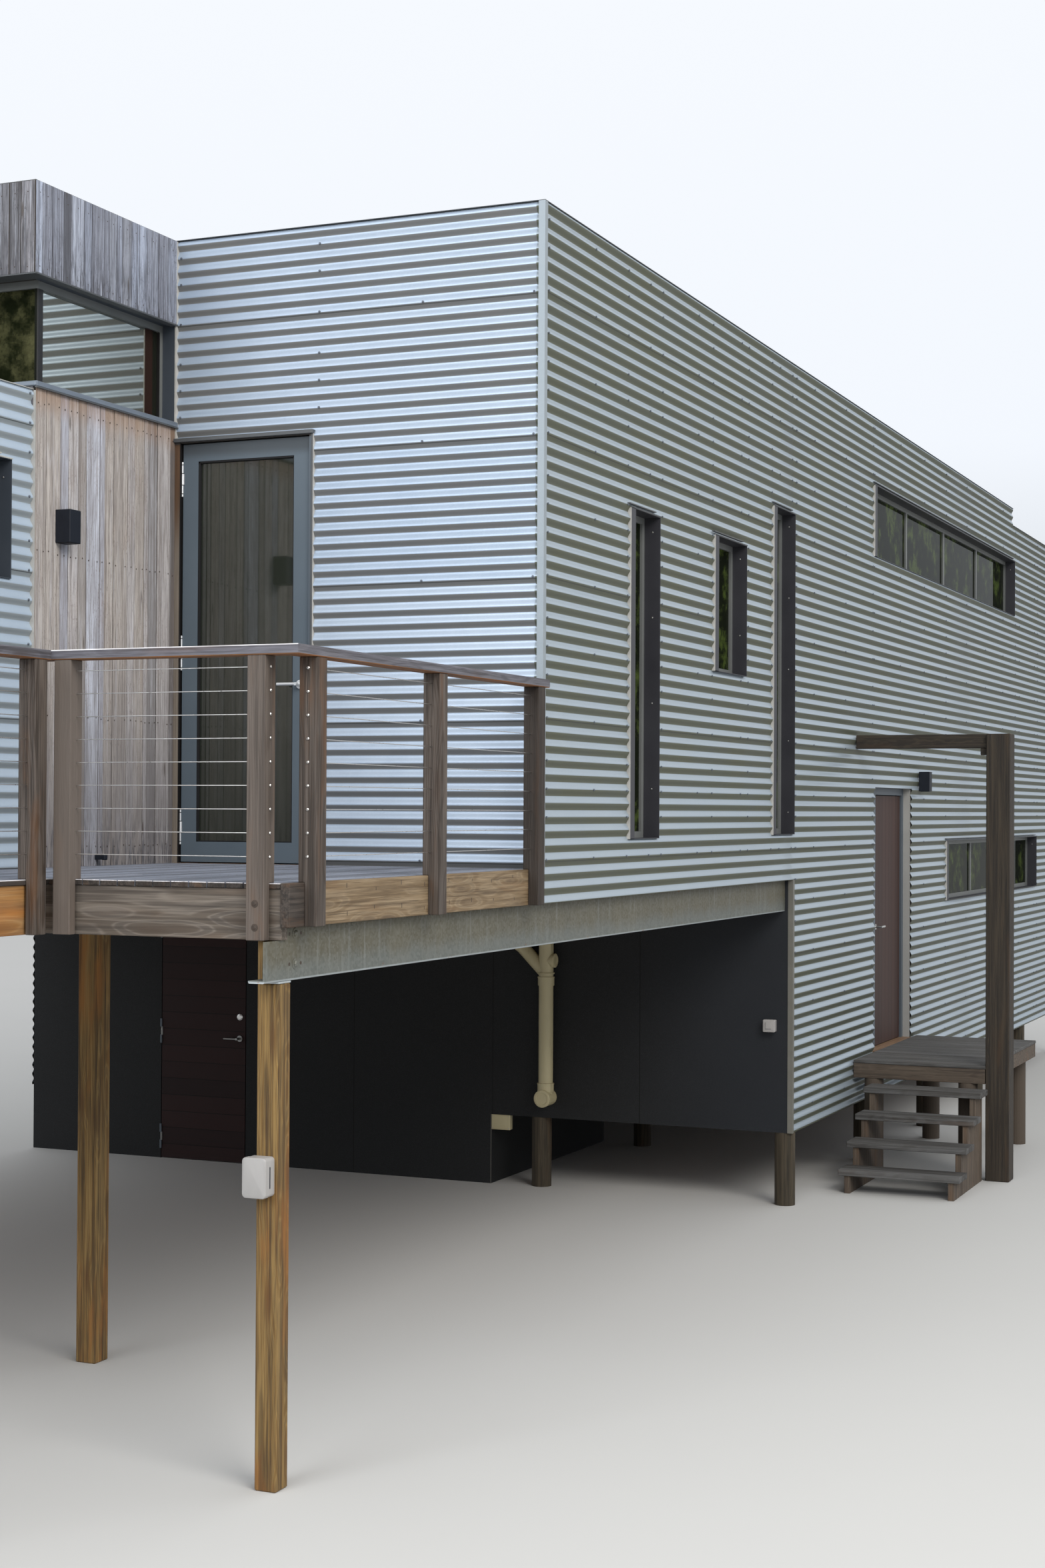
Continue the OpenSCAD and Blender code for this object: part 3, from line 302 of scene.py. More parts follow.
def sheeting(start, along, out, length, low, high, holes=(), joints=(), phase=0.0, steps=12):
    """One wall of sheets: start + u along + (wave(z) - lap(z)) out + z up. The wave is half a cosine
    of the pitch, 0 at a crest; the lap grows from 0 at a sheet's lower edge to 1 mm at its upper
    edge, and a joint steps it once more. Cells inside a hole are left out."""
    along, out = np.array(along, float), np.array(out, float)
    step, first_seam = wave_pitch / steps, phase + seam_rise
    zs, seams = [np.arange(np.ceil((low - first) / gap), (high - first) / gap) * gap + first
                 for first, gap in ((phase, step), (first_seam, sheet_high))]
    zs = np.concatenate([zs, [low, high], seams, seams - seam_gap] + [h[2:] for h in holes])
    zs = np.unique(np.round(zs, 6))
    zs = zs[(zs >= low) & (zs <= high)]
    us = np.concatenate([np.arange(0, length, 1.1), [length]] + [h[:2] for h in holes]
                        + [[j, j + 1e-3] for j in joints])
    us = np.unique(np.round(us[(us >= 0) & (us <= length)], 6))
    u, z = np.meshgrid(us, zs, indexing="ij")
    turn = 2 * np.pi * (z - phase) / wave_pitch
    share = ((z - first_seam) / sheet_high) % 1.0
    depth = (np.cos(turn) - 1) / 2 * wave_depth - share * lap
    for joint in joints:
        depth -= np.where(u > joint, 0.0006, 0.0)
    points = np.array(start) + u[..., None] * along + depth[..., None] * out + z[..., None] * np.array([0, 0, 1.0])
    number = np.arange(u.size).reshape(u.shape)
    cell = np.stack([number[:-1, :-1], number[1:, :-1], number[1:, 1:], number[:-1, 1:]], -1)
    mid_u, mid_z = (us[1:] + us[:-1])[:, None] / 2, (zs[1:] + zs[:-1])[None, :] / 2
    keep = np.ones(cell.shape[:2], bool)
    for u0, u1, z0, z1 in holes:
        keep &= ~((mid_u > u0) & (mid_u < u1) & (mid_z > z0) & (mid_z < z1))
    faces = cell[keep]
    if np.dot(np.cross(along, (0, 0, 1.0)), out) < 0:
        faces = faces[:, ::-1]
    return points.reshape(-1, 3), [faces], 0, {"sheet": np.stack([u, z, share], -1).reshape(-1, 3),
                                               "flank": np.sin(turn).ravel()}


back_y, top = local("side_cladding")[1][1:]
link_x, wing_y, left_x = local("timber_wall")[1][0], cad_lo.y - corner[1], cad_lo.x - corner[0]
base, low_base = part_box("front_wall")[0].z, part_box("side_wall_low")[0].z
rear_top, wing_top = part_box("back_wall")[1].z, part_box("wing_wall_front")[1].z
wing_back, lower_y = local("wing_wall_right")[1][1], local("undercroft_wall_left")[0][1]
ends = np.array([v.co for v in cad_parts["side_cladding"].data.vertices]) - corner
step_y = ends[ends[:, 2] > top - 0.01, 1].max()
over_door, over_entry = local("front_wall_over_door"), local("side_wall_over_entry")
door_right, door_top = over_door[1][0], over_door[0][2]
entry = (over_entry[0][1], over_entry[1][1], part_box("lower_floor")[0].z, over_entry[0][2])
crest, side_crest, wing_crest = base + 0.0665, base + 0.079, base + 0.044

zinc, paint = finish("corrugated_steel", specular_ior_level=0.5)
point, x, y, z = at(paint)
flank, sheet = paint.noted("flank", 2), paint.noted("sheet", 1)
beside = ((x > -0.05) + (y > 0.5) + (x < left_x + 0.03)) > 0.5
wing = within(x, link_x - 0.03, link_x + 0.03) * (y < wing_back + 0.01)
shaded = band(x, -1.5, -2.25) * within(y, -0.1, 0.03)
# Painted reflection and shade: the down-facing flanks of the corrugations take a dark brown-grey, olive on the side
# wall, for the dark ground and trees they would mirror, and the up-facing flanks take a sky-blue reflection. Painted
# shade also darkens the side wall and the front wall's end near the link. On the wing wall both flanks are painted
# nearer one mid grey. The tone of each sheet, the spangle and the streaks are the steel's own.
under = band(flank, -0.1 + 0.34 * beside, -0.42 + 0.28 * beside)
piece = paint.node("TexWhiteNoise", {"noise_dimensions": "2D"}, {
    "Vector": paint.vector((z - crest - seam_rise) // sheet_high, beside * 3.0 + wing * 7.0, 0.0)})
runs, flank_shade_noise = cloud(sheet, (7, 0.9, 1), 5.0, 0.6), cloud(point, (1.7, 1.7, 2.6), 4.0, 0.6)
upper_flank_colour = coats(mixed(runs, (0.34, 0.425, 0.545), (0.425, 0.51, 0.62)), piece * 0.22, (0.62, 0.68, 0.76),
              cells(point, 130.0, 1).part(0) * 0.08, (0.66, 0.74, 0.84), 0.36 * beside, (0.2, 0.22, 0.17),
              shaded * 0.55, (0.26, 0.32, 0.41), wing * 0.6, (0.4, 0.48, 0.56))
lower_flank_shade = coats(mixed(flank_shade_noise, (0.1, 0.095, 0.086), (0.19, 0.184, 0.17)),
              0.9 * beside, mixed(flank_shade_noise, (0.036, 0.04, 0.015), (0.084, 0.086, 0.036)),
              wing, mixed(flank_shade_noise, (0.21, 0.235, 0.24), (0.3, 0.325, 0.33)))
# Painted shadow: a thin dark line just under the lower edge of each overlapping sheet.
lap_shadow_line = (sheet.part(2) > 0.9945) * 0.75
wear(paint, coats(upper_flank_colour, under * (0.84 + 0.16 * flank_shade_noise), lower_flank_shade, lap_shadow_line, (0.05, 0.05, 0.045)),
     rough=0.36 + 0.1 * runs + 0.15 * under,
     metal=(0.42 - 0.3 * under) * (1.0 - 0.45 * shaded) * (1.0 - 0.5 * wing),
     bump=cloud(sheet, (3, 9, 1), 3.0, 0.5), strength=0.1, depth=0.004)
frames = solids("window_frames")


def windows_in(axis, plane, start, end=100.0):
    """The windows in the wall on a plane across the axis: both ends, measured from start, and heights."""
    return [(lo[1 - axis] - start, hi[1 - axis] - start, lo[2], hi[2]) for lo, hi in frames
            if hi[axis] - lo[axis] < 0.1 and abs((lo[axis] + hi[axis]) / 2 - plane) < 0.2 and hi[1 - axis] < end]


side_holes, wing_holes = windows_in(0, 0.0, 0.0), windows_in(0, link_x, wing_y, wing_back)
for name, node, shapes in (
        ("front_sheets", "front_cladding", [
            sheeting((link_x, 0, 0), (1, 0, 0), (0, -1, 0), -link_x, base, top,
                     [(-0.01, door_right - link_x, base - 0.01, door_top)], phase=crest, steps=14),
            sheeting((link_x, wing_y, 0), (0, 1, 0), (1, 0, 0), wing_back - wing_y, base, wing_top,
                     wing_holes, phase=wing_crest),
            sheeting((left_x, wing_y, 0), (1, 0, 0), (0, -1, 0), link_x - left_x, base, wing_top,
                     windows_in(1, wing_y, left_x), phase=wing_crest)]),
        ("side_sheets", "side_cladding", [
            sheeting((0, 0, 0), (0, 1, 0), (1, 0, 0), back_y, low_base, top, side_holes
                     + [(-0.01, lower_y, low_base - 0.01, base), (step_y, back_y + 0.01, rear_top, top + 0.01), entry],
                     [lower_y - 0.01, 10.7], phase=side_crest, steps=14)]),
        ("rear_sheets", "rear_cladding", [
            sheeting((left_x, wing_y, 0), (0, 1, 0), (-1, 0, 0), back_y - wing_y, low_base, top,
                     windows_in(0, left_x, wing_y)
                     + [(-0.01, lower_y - wing_y, low_base - 0.01, base),
                        (-0.01, wing_back - wing_y, wing_top, top + 0.01),
                        (step_y - wing_y, back_y - wing_y + 0.01, rear_top, top + 0.01)],
                     [9.3, 15.2], phase=side_crest, steps=8),
            sheeting((left_x, back_y, 0), (1, 0, 0), (0, 1, 0), -left_x, low_base, rear_top,
                     windows_in(1, back_y, left_x), phase=side_crest, steps=8)])):
    build(name, shapes, [zinc], smooth=1.2, instead=(node,))


# The sheet screws: small plated hexagon heads on the crests, darkened by the weather, in upright
# rows at the studs and closer beside the windows.
def spots(x, y, z):
    """Points whose three parts are each one number or a row of numbers."""
    return np.stack(np.broadcast_arrays(x, y, z), -1).astype(float)


def ringed(profile, axis, side, sides):
    """The points of a turned shape: one ring round the axis for each (radius, reach) of its profile."""
    profile, angle = np.array(profile, float), 2 * np.pi * np.arange(sides) / sides
    first, second = [i for i in range(3) if i != axis]
    rings = np.zeros((len(profile), sides, 3))
    rings[..., first], rings[..., second] = profile[:, :1] * np.cos(angle), profile[:, :1] * np.sin(angle)
    rings[..., axis] = side * profile[:, 1:]
    return rings


def joined(rings, flip=False, near=True, far=True):
    """The faces of a shape carried through its rings of points: strips between them and closed ends."""
    n, last = len(rings[0]), len(rings) - 1
    i = np.arange(n)
    j = (i + 1) % n
    groups = [np.concatenate([np.stack([i, j, j + n, i + n], -1) + k * n for k in range(last)])]
    groups += [i[None, ::-1]] * near + [i[None] + last * n] * far
    return [group[:, ::-1] for group in groups] if flip else groups


def heads(places, axis, side, radius, height, sides=6):
    """Heads of screws and bolts: a ring on the surface, the same ring raised, a smaller one on top
    and a middle point, on the axis given, towards side."""
    places, flip = np.atleast_2d(places).astype(float), (side < 0) != (axis == 1)
    rings = ringed([(radius, 0), (radius, 0.55 * height), (0.62 * radius, height)], axis, side, sides)
    shape = np.concatenate([rings.reshape(-1, 3), side * height * np.eye(3)[[axis]]])
    i = np.arange(2 * sides, 3 * sides)
    fans = np.stack([i, np.roll(i, -1), np.full(sides, 3 * sides)], -1)
    step = (np.arange(len(places)) * len(shape))[:, None, None]
    quads = joined(rings, flip, False, False)[0] + step
    fans = (fans[:, ::-1] if flip else fans) + step
    return (places[:, None, :] + shape).reshape(-1, 3), [quads.reshape(-1, 4), fans.reshape(-1, 3)], 0, {}


def screw_rows(studs, low, high, steps, holes, phase):
    """Pairs (stud, crest height) outside the holes, on the crests numbered in steps above each lap."""
    heights = phase + wave_pitch * (2 + np.arange(-40, 60, cover)[:, None] + np.array(steps)[None, :]).ravel()
    heights = heights[(heights > low + 0.03) & (heights < high - 0.02)]
    return np.array([(u, h) for u in studs for h in heights
                     if not any(a - 0.02 < u < b + 0.02 and c - 0.02 < h < d + 0.02 for a, b, c, d in holes)])


doorway = [(link_x, door_right + 0.1, base, door_top)]
front = np.concatenate([screw_rows([link_x + 0.035, door_right + 0.045], base, top, (0, 3, 5, 7), doorway, crest),
                        screw_rows([-0.72, -0.06], base, top, (0,), doorway, crest)])
wing_row = screw_rows([wing_back - 0.035], base, wing_top, (0, 2, 5, 8), [], wing_crest)
blocked = side_holes + [(0, lower_y, low_base, base), (step_y, back_y, rear_top, top), entry]
studs = [0.06, lower_y - 0.05, lower_y + 0.05] + [u for hole in side_holes for u in (hole[0] - 0.045, hole[1] + 0.045)]
side = np.concatenate([screw_rows(studs, low_base, top, (0, 3, 5, 7), blocked, side_crest),
                       screw_rows(np.arange(0.75, back_y, 0.9), low_base, top, (0, 5), blocked, side_crest)])
screw_dark, paint = finish("screw_heads")
wet = cloud(at(paint)[0], 60, 3.0)
wear(paint, mixed(wet, (0.06, 0.072, 0.095), (0.16, 0.18, 0.21)), rough=0.35 + 0.2 * wet, metal=0.35 + 0.2 * wet)
screw = (0.0072, 0.0055)
build("sheet_screws", [heads(spots(front[:, 0], 0, front[:, 1]), 1, -1, *screw),
                       heads(spots(0, side[:, 0], side[:, 1]), 0, 1, *screw),
                       heads(spots(link_x, wing_row[:, 0], wing_row[:, 1]), 0, 1, *screw)],
      [screw_dark])


# The folded trims: dark steel cappings over the parapets, pale angles over the two near corners, a
# drip flashing over the deck door, and pale legs that stand out where the cut ends of the sheets
# meet an opening.
def dress(material, *names):
    """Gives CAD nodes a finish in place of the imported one."""
    for name in names:
        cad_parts[name].data.materials.clear()
        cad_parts[name].data.materials.append(material)


def planks(lows, highs, grain=0, cut=0.002, number=0):
    """Boxes with cut edges, made all at once. Each corner becomes three points, one on each face it
    touches, drawn back from the other two faces by the cut. Notes: grain is each point's place in
    its own stretch of timber, along the grain first; tone is one chance value a board."""
    lows, highs = np.atleast_2d(lows).astype(float), np.atleast_2d(highs).astype(float)
    signs = np.array([[a, b, c] for a in (-1, 1) for b in (-1, 1) for c in (-1, 1)], float)
    back, half = 1 - np.eye(3), (highs - lows) / 2
    drawn = np.minimum(cut, half.min(1) * 0.6)[:, None, None, None] * back
    points = ((lows + highs) / 2)[:, None, None, :] + signs[:, None, :] * (half[:, None, None, :] - drawn)
    model, weight = (signs[:, None, :] * (1 - 0.1 * back)).reshape(-1, 3), (12, 6, 3)
    quads, fans = [], [[3 * i, 3 * i + 1, 3 * i + 2] for i in range(8)]
    for a in range(3):
        b, c = (a + 1) % 3, (a + 2) % 3
        for s in (0, 1):
            quads.append([a + s * weight[a] + t * weight[b] + v * weight[c]
                          for t, v in ((0, 0), (1, 0), (1, 1), (0, 1))])
            for t in (0, 1):
                near = s * weight[b] + t * weight[c]
                quads.append([near + b, near + weight[a] + b, near + weight[a] + c, near + c])

    def outward(loop):
        p = model[loop]
        return loop if np.dot(np.cross(p[1] - p[0], p[2] - p[0]), p.mean(0)) > 0 else loop[::-1]
    step = (np.arange(len(lows)) * 24)[:, None, None]
    quads, fans = [(np.array([outward(loop) for loop in loops]) + step).reshape(-1, len(loops[0]))
                   for loops in (quads, fans)]
    points = points.reshape(len(lows), 24, 3)
    order = [grain] + [i for i in range(3) if i != grain]
    place = points[:, :, order] + rng.uniform(0, 60, (len(lows), 1, 3))
    tone = np.repeat(rng.uniform(0, 1, len(lows)), 24)
    return points.reshape(-1, 3), [quads, fans], number, {"grain": place.reshape(-1, 3), "tone": tone}


trim, paint = finish("folded_trim")
point, x, y, z = at(paint)
strip = ((z < top - 0.001) * (y < 0.05) * (x > -0.05) + (z < base + 0.001)) > 0.5
cream_cap = (z < wing_top + 0.01) * (y < wing_back - 0.001) * (z > base + 0.5)
soot = cloud(point, (3, 3, 9), 5.0, 0.6)
angle_pale = coats(mixed(soot, (0.25, 0.29, 0.32), (0.36, 0.4, 0.43)),
                   z < base + 0.001, mixed(soot, (0.14, 0.135, 0.115), (0.22, 0.215, 0.19)))
wear(paint, coats(mixed(soot, (0.045, 0.05, 0.055), (0.11, 0.115, 0.12)), cream_cap,
                  (0.46, 0.45, 0.41), strip, angle_pale),
     rough=0.45 + 0.2 * soot, metal=0.15 + 0.3 * strip, bump=soot, strength=0.1)
dress(trim, "flashings")
blue_grey, paint = finish("blue_grey_flashing")
point, x, y, z = at(paint)
streak = cloud(point, (4, 4, 14), 5.0, 0.6)
wear(paint, mixed(streak, (0.11, 0.13, 0.16), (0.22, 0.26, 0.31)), rough=0.35 + 0.2 * streak,
     metal=0.2 + 0.2 * cloud(point, (1, 1, 60), 2.0), bump=streak, strength=0.1)
build("door_drip", [
    planks((link_x - 0.004, -0.021, door_top - 0.01), (door_right + 0.016, 0.017, door_top + 0.012), 0, 0.002, 1),
    planks((door_right - 0.001, -0.006, base), (door_right + 0.012, 0.004, door_top - 0.006), 2, 0.001, 1)],
    [blue_grey, trim])
leg_paint = mottled("cut_edge_trim", (30, 30, 14), (0.28, 0.27, 0.25), (0.58, 0.57, 0.54), 0.6,
                    0.2, 5.0, 0.65, bump=0.1)
legs = [((x0, y0 + u0 - 0.002, z0), (x0 + 0.026, y0 + u0, z1)) for x0, y0, holes in
        ((-0.02, 0.0, side_holes), (link_x - 0.02, wing_y, wing_holes)) for u0, u1, z0, z1 in holes]
legs += [((link_x - 0.018, wing_back - 0.002, base), (link_x + 0.01, wing_back, wing_top - 0.004)),
         ((door_right + 0.012, -0.006, base), (door_right + 0.014, 0.018, door_top - 0.006)),
         ((link_x - 0.002, -0.007, door_top + 0.01), (link_x + 0.01, 0.018, top - 0.004))]
build("edge_legs", [planks(*zip(*legs), 2, 0.0005)], [leg_paint])


# The insides: pale painted linings on the framed walls, board floors, and the sheet roofs
# behind the parapets with their ribs running across.
lining = mottled("wall_lining", 4, (0.3, 0.295, 0.28), (0.4, 0.395, 0.38), 0.8, 0.1, 5.0, 0.6, bump=0.1)
dress(lining, "front_wall", "front_wall_over_door", "side_wall_front", "side_wall_low", "side_wall_over_entry",
      "side_wall_rear", "back_wall", "left_wall", "wing_wall_right", "wing_wall_front")


def timber(name, dark, mid, pale, warm, warmth=0.3, axis=None, size=1.0, rough=0.75, knots=0.5, stripes=0.5,
           tones=0.35, damp=0.0, long=0.35):
    """Sawn timber: growth bands and fine fibres stretched along the grain, knots that bend them,
    checks along the fibres, warm patches where the weathered skin has gone, and a chance tone a board."""
    material, paint = finish(name)
    if axis is None:
        grain, tone = paint.noted("grain", 1), paint.noted("tone", 2)
    else:
        point, x, y, z = at(paint)
        grain = paint.vector(*[(x, y, z), (y, x, z), (z, x, y)][axis])

    def along(length, across, detail, grit, bend=0.0):
        return cloud(grain, (length * size, across * size, across * size), detail, grit, bend)
    knot = cells(stretched(grain, (2.1 * size, 11 * size, 11 * size)))
    bands, fibre = along(0.8, 26, 3.0, 0.5, 0.8), along(5, 210, 4.0, 0.65)
    ring = paint.node("TexWave", {"wave_type": "BANDS", "bands_direction": "Y", "wave_profile": "SIN"}, {
        "Phase Offset": band(knot, 0.62, 0.05) * 11.0, "Vector": stretched(grain, (long, 1, 1)),
        "Scale": 24.0 * size, "Distortion": 7.0, "Detail": 3.0, "Detail Scale": 0.35, "Detail Roughness": 0.6}, 1)
    check, streak = band(along(1.6, 120, 3.0, 0.6), 0.66, 0.72), along(1.4, 62, 3.0, 0.6)
    patch = along(1.3, 9, 4.0, 0.6)
    colour = coats(mixed(band(bands * (1 - stripes) + ring * stripes, 0.25, 0.75), mid, pale),
                   band(ring, 0.55, 0.92) * stripes * 0.75, dark, band(fibre, 0.62, 0.3) * 0.55, dark,
                   band(streak, 0.5, 0.36) * 0.6, dark, band(streak, 0.52, 0.64) * 0.5, pale,
                   band(patch, 0.62 - 0.3 * warmth, 0.8 - 0.3 * warmth) * min(1.0, warmth * 2), warm,
                   band(knot, 0.3, 0.06) * knots, tuple(0.35 * w for w in warm),
                   check * 0.75, tuple(0.25 * d for d in dark))
    if axis is None:
        colour = coats(colour, band(tone, 0.35, 0.0) * tones, dark, band(tone, 0.65, 1.0) * tones, pale)
    if damp:
        colour = mixed(band(cloud(point, (26, 26, 1.1), 4.0, 0.6), 0.54, 0.66) * damp, colour,
                       tuple(0.35 * d for d in dark))
    wear(paint, colour, rough=rough + 0.15 * fibre - 0.05,
         bump=fibre * 0.5 + bands * 0.3 + ring * 0.25 * stripes - check * 1.2, strength=0.45, depth=0.0025)
    return material


floor_wood = timber("floor_boards", (0.1, 0.055, 0.028), (0.24, 0.14, 0.075), (0.34, 0.21, 0.12), (0.28, 0.14, 0.06),
                    warmth=0.2, axis=1, rough=0.45)
dress(floor_wood, "upper_floor", "lower_floor")
roofing, paint = finish("roof_sheet")
point = at(paint)[0]
streaks, specks = cloud(point, (0.8, 5, 5), 5.0, 0.6), cloud(point, 9, 5.0, 0.7)
wear(paint, mixed(streaks * 0.6 + specks * 0.4, (0.3, 0.32, 0.33), (0.56, 0.58, 0.58)), rough=0.42 + 0.2 * specks,
     metal=0.75 - 0.3 * specks, bump=streaks, strength=0.08)
dress(roofing, "main_roof", "wing_roof")
main_roof, wing_roof = local("main_roof"), local("wing_roof")
ribs = []
for first, (roof_lo, roof_hi), short in ((local("front_wall")[1][1], main_roof, 0.03),
                                         (wing_roof[0][1], wing_roof, 0.05)):
    rib_y = np.arange(first + 0.1, roof_hi[1] - short, 0.203)
    ribs.append(planks(spots(main_roof[0][0] + 0.01, rib_y, roof_hi[2] - 0.005),
                       spots(roof_hi[0] - 0.01, rib_y + 0.034, roof_hi[2] + 0.024), 0, 0.01))
build("roof_ribs", ribs, [roofing])


# The boarded link: upright hardwood boards of mixed widths, left to turn grey, nailed through each
# board in level rows; the same boards cover the parapet over the corner window.
def weathered(name, hues, stain, dark, warm=False):
    """Boards left to turn grey: the tone of each board picks its hue from the list, over fine fibres,
    long soft bands and, near its lower end, dark stains that follow the grain."""
    material, paint = finish(name)
    grain, tone = paint.noted("grain", 1), paint.noted("tone", 2)
    point, x, y, z = at(paint)
    colour, gaps = hues[0], len(hues) - 1
    for k in range(1, len(hues)):
        colour = mixed(band(tone, (k - 0.85) / gaps, (k - 0.15) / gaps), colour, hues[k])
    bands, fibre = cloud(grain, (0.9, 30, 30), 4.0, 0.6, 0.6), cloud(grain, (6, 260, 260), 4.0, 0.7)
    patch, check = cloud(grain, (2.2, 9, 9), 5.0, 0.6), band(cloud(grain, (2.5, 150, 150), 3.0, 0.6), 0.67, 0.72)
    pits, streak = cloud(grain, (45, 130, 130), 3.0, 0.7), cloud(grain, (1.3, 75, 75), 3.0, 0.6)
    colour = coats(colour, band(streak, 0.47, 0.36) * 0.5, dark,
                   band(streak, 0.54, 0.66) * 0.4, (0.62, 0.63, 0.68) if warm else (0.44, 0.47, 0.54),
                   band(bands, 0.6, 0.3) * 0.45, dark, band(fibre, 0.56, 0.4) * 0.62, dark,
                   band(pits, 0.56, 0.64) * band(patch, 0.45, 0.6) * 0.55, dark)
    # On the link boards the lower part, from about 4.1 m down to 3.0 m, is painted darker as shade.
    if warm:
        colour = coats(colour, band(patch, 0.52, 0.75) * 0.25, (0.34, 0.25, 0.185),
                       band(patch, 0.42, 0.25) * 0.45, (0.6, 0.59, 0.64),
                       band(z + 0.1 * bands, 4.92, 5.07) * 0.45, (0.3, 0.165, 0.08),
                       band(z + 0.4 * bands, 4.1, 3.0) * 0.6, (0.115, 0.107, 0.112))
    colour = coats(colour, band(cells(stretched(grain, (1.6, 10, 10))), 0.1, 0.03) * 0.8, (0.06, 0.045, 0.035),
                   check * 0.7, (0.05, 0.043, 0.038), band(tone, 0.16, 0.06) * (0.0 if warm else 0.55), dark,
                   band(z, stain[1], stain[0]) * band(cloud(grain, (7, 90, 90), 4.0, 0.65), 0.46, 0.6) * 0.85,
                   (0.045, 0.045, 0.055))
    wear(paint, colour, rough=0.7 + 0.15 * fibre, bump=fibre * 0.5 + bands * 0.3 - check * 1.2,
         strength=0.4, depth=0.0025)
    return material


clad = weathered("weathered_boards", [
    (0.1, 0.095, 0.095), (0.275, 0.268, 0.275), (0.48, 0.438, 0.405), (0.52, 0.495, 0.495), (0.45, 0.47, 0.55),
    (0.6, 0.63, 0.72)], (2.5, 3.0), (0.15, 0.125, 0.115), True)
clad_high = weathered("parapet_boards", [
    (0.15, 0.16, 0.19), (0.33, 0.365, 0.455), (0.24, 0.255, 0.31), (0.45, 0.5, 0.62), (0.35, 0.37, 0.43)],
    (5.62, 5.98), (0.06, 0.06, 0.072))
clad_front = weathered("parapet_front_boards", [
    (0.09, 0.085, 0.09), (0.2, 0.2, 0.225), (0.13, 0.125, 0.14), (0.28, 0.275, 0.3)],
    (5.62, 5.98), (0.026, 0.024, 0.026))
seam_dark, paint = finish("board_backing")
point = at(paint)[0]
wear(paint, mixed(cloud(point, (20, 20, 2), 3.0), (0.018, 0.015, 0.012), (0.05, 0.04, 0.032)),
     rough=0.85 + 0.1 * cloud(point, 9))
dress(seam_dark, "timber_wall", "timber_parapet")


def widths(length, least=0.045, most=0.125, gap=0.006):
    """Chance widths between least and most that fill the length, as starts and ends with gaps."""
    share = rng.uniform(least, most, int(np.ceil(length / ((least + most) / 2))))
    share *= length / share.sum()
    stops = np.concatenate([[0], np.cumsum(share)])
    return stops[:-1] + gap / 2, stops[1:] - gap / 2, rng.uniform(0, 0.003, len(share))


proud, sill = 0.005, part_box("timber_wall")[1].z
head = next(w[1][2] for w in frames if abs(w[0][2] - sill) < 0.01 and w[1][1] < 0.01 and w[0][1] > wing_y + 2)
board_ends = np.array([-1.34, -1.244, -1.117, -1.043, -0.953, -0.878, -0.753, -0.706, -0.619, -0.483, -0.414, -0.318,
                       -0.277, -0.184, -0.052, 0.0])
board_tones = (0.34, 0.42, 0.74, 0.6, 0.3, 1.0, 0.74, 0.44, 0.36, 0.62, 0.36, 0.66, 0.2, 0.56, 0.0)
gaps = rng.uniform(0.003, 0.007, len(board_ends))
a, b = board_ends[:-1] + gaps[:-1] / 2, board_ends[1:] - gaps[1:] / 2
boards = [planks(spots(link_x - 0.012, a, base), spots(link_x + proud - rng.uniform(0, 0.003, len(a)), b, sill), 2,
                 0.0015, 0)]
boards[0][3]["tone"] = np.repeat(board_tones, 24)
rows = [((u + v) / 2,) if v - u < 0.085 else (u + 0.018, v - 0.018) for u, v in zip(a, b)]
nails = [heads([(link_x + proud, u + rng.uniform(-0.004, 0.004), z_at + rng.uniform(-0.006, 0.006))
                for z_at in (2.66, 3.35, 4.2, 4.97) for row in rows for u in row], 0, 1, 0.0044, 0.001)]
parapet_rows, board_top = (head + 0.035, top - 0.06), top - 0.002
a, b, out = widths(-wing_back)
face_x = link_x + 0.012 - out
boards.append(planks(spots(link_x - 0.012, wing_back + a, head), spots(face_x, wing_back + b, board_top), 2, 0.0015, 1))
for z_at in parapet_rows:
    nail_z = z_at + rng.uniform(-0.006, 0.006, len(a))
    nails.append(heads(spots(face_x, wing_back + (a + b) / 2, nail_z), 0, 1, 0.0034, 0.001))
for low, high in ((wing_top - 0.08, sill), (head, board_top)):
    a, b, out = widths(link_x - left_x - 0.002)
    face_y = wing_back - proud + out
    boards.append(planks(spots(left_x + a, face_y, low), spots(left_x + b, wing_back + 0.012, high), 2, 0.0015, 2))
    for z_at in parapet_rows if low > sill else ():
        nail_z = z_at + rng.uniform(-0.006, 0.006, len(a))
        nails.append(heads(spots(left_x + (a + b) / 2, face_y, nail_z), 1, -1, 0.0034, 0.001))
build("link_boards", boards, [clad, clad_high, clad_front])
rust, paint = finish("nail_heads")
point = at(paint)[0]
wear(paint, mixed(cloud(point, 90), (0.02, 0.017, 0.015), (0.07, 0.045, 0.03)), rough=0.6 + 0.2 * cloud(point, 70))
build("link_nails", nails, [rust])


# The windows: dark powder-coated frames set deep in the wall, panes of dark reflecting glass, folded
# dark linings round each opening, a wide jamb on the side nearer the deck, and drips over the heads.
def powder(name, film_scale=3, grit_scale=300):
    """Powder coat: a smooth paint with a fine grit. Gives its film and grit for what is laid over."""
    material, paint = finish(name, specular_ior_level=0.4)
    point, x, y, z = at(paint)
    film = cloud(point, film_scale, 4.0, 0.6)

    def lay(colour, rough=None, metal=None):
        wear(paint, colour, rough or 0.38 + 0.2 * film, metal, bump=cloud(point, grit_scale, 2.0),
             strength=0.04, depth=0.0005)
    return material, film, lay, x, y, z


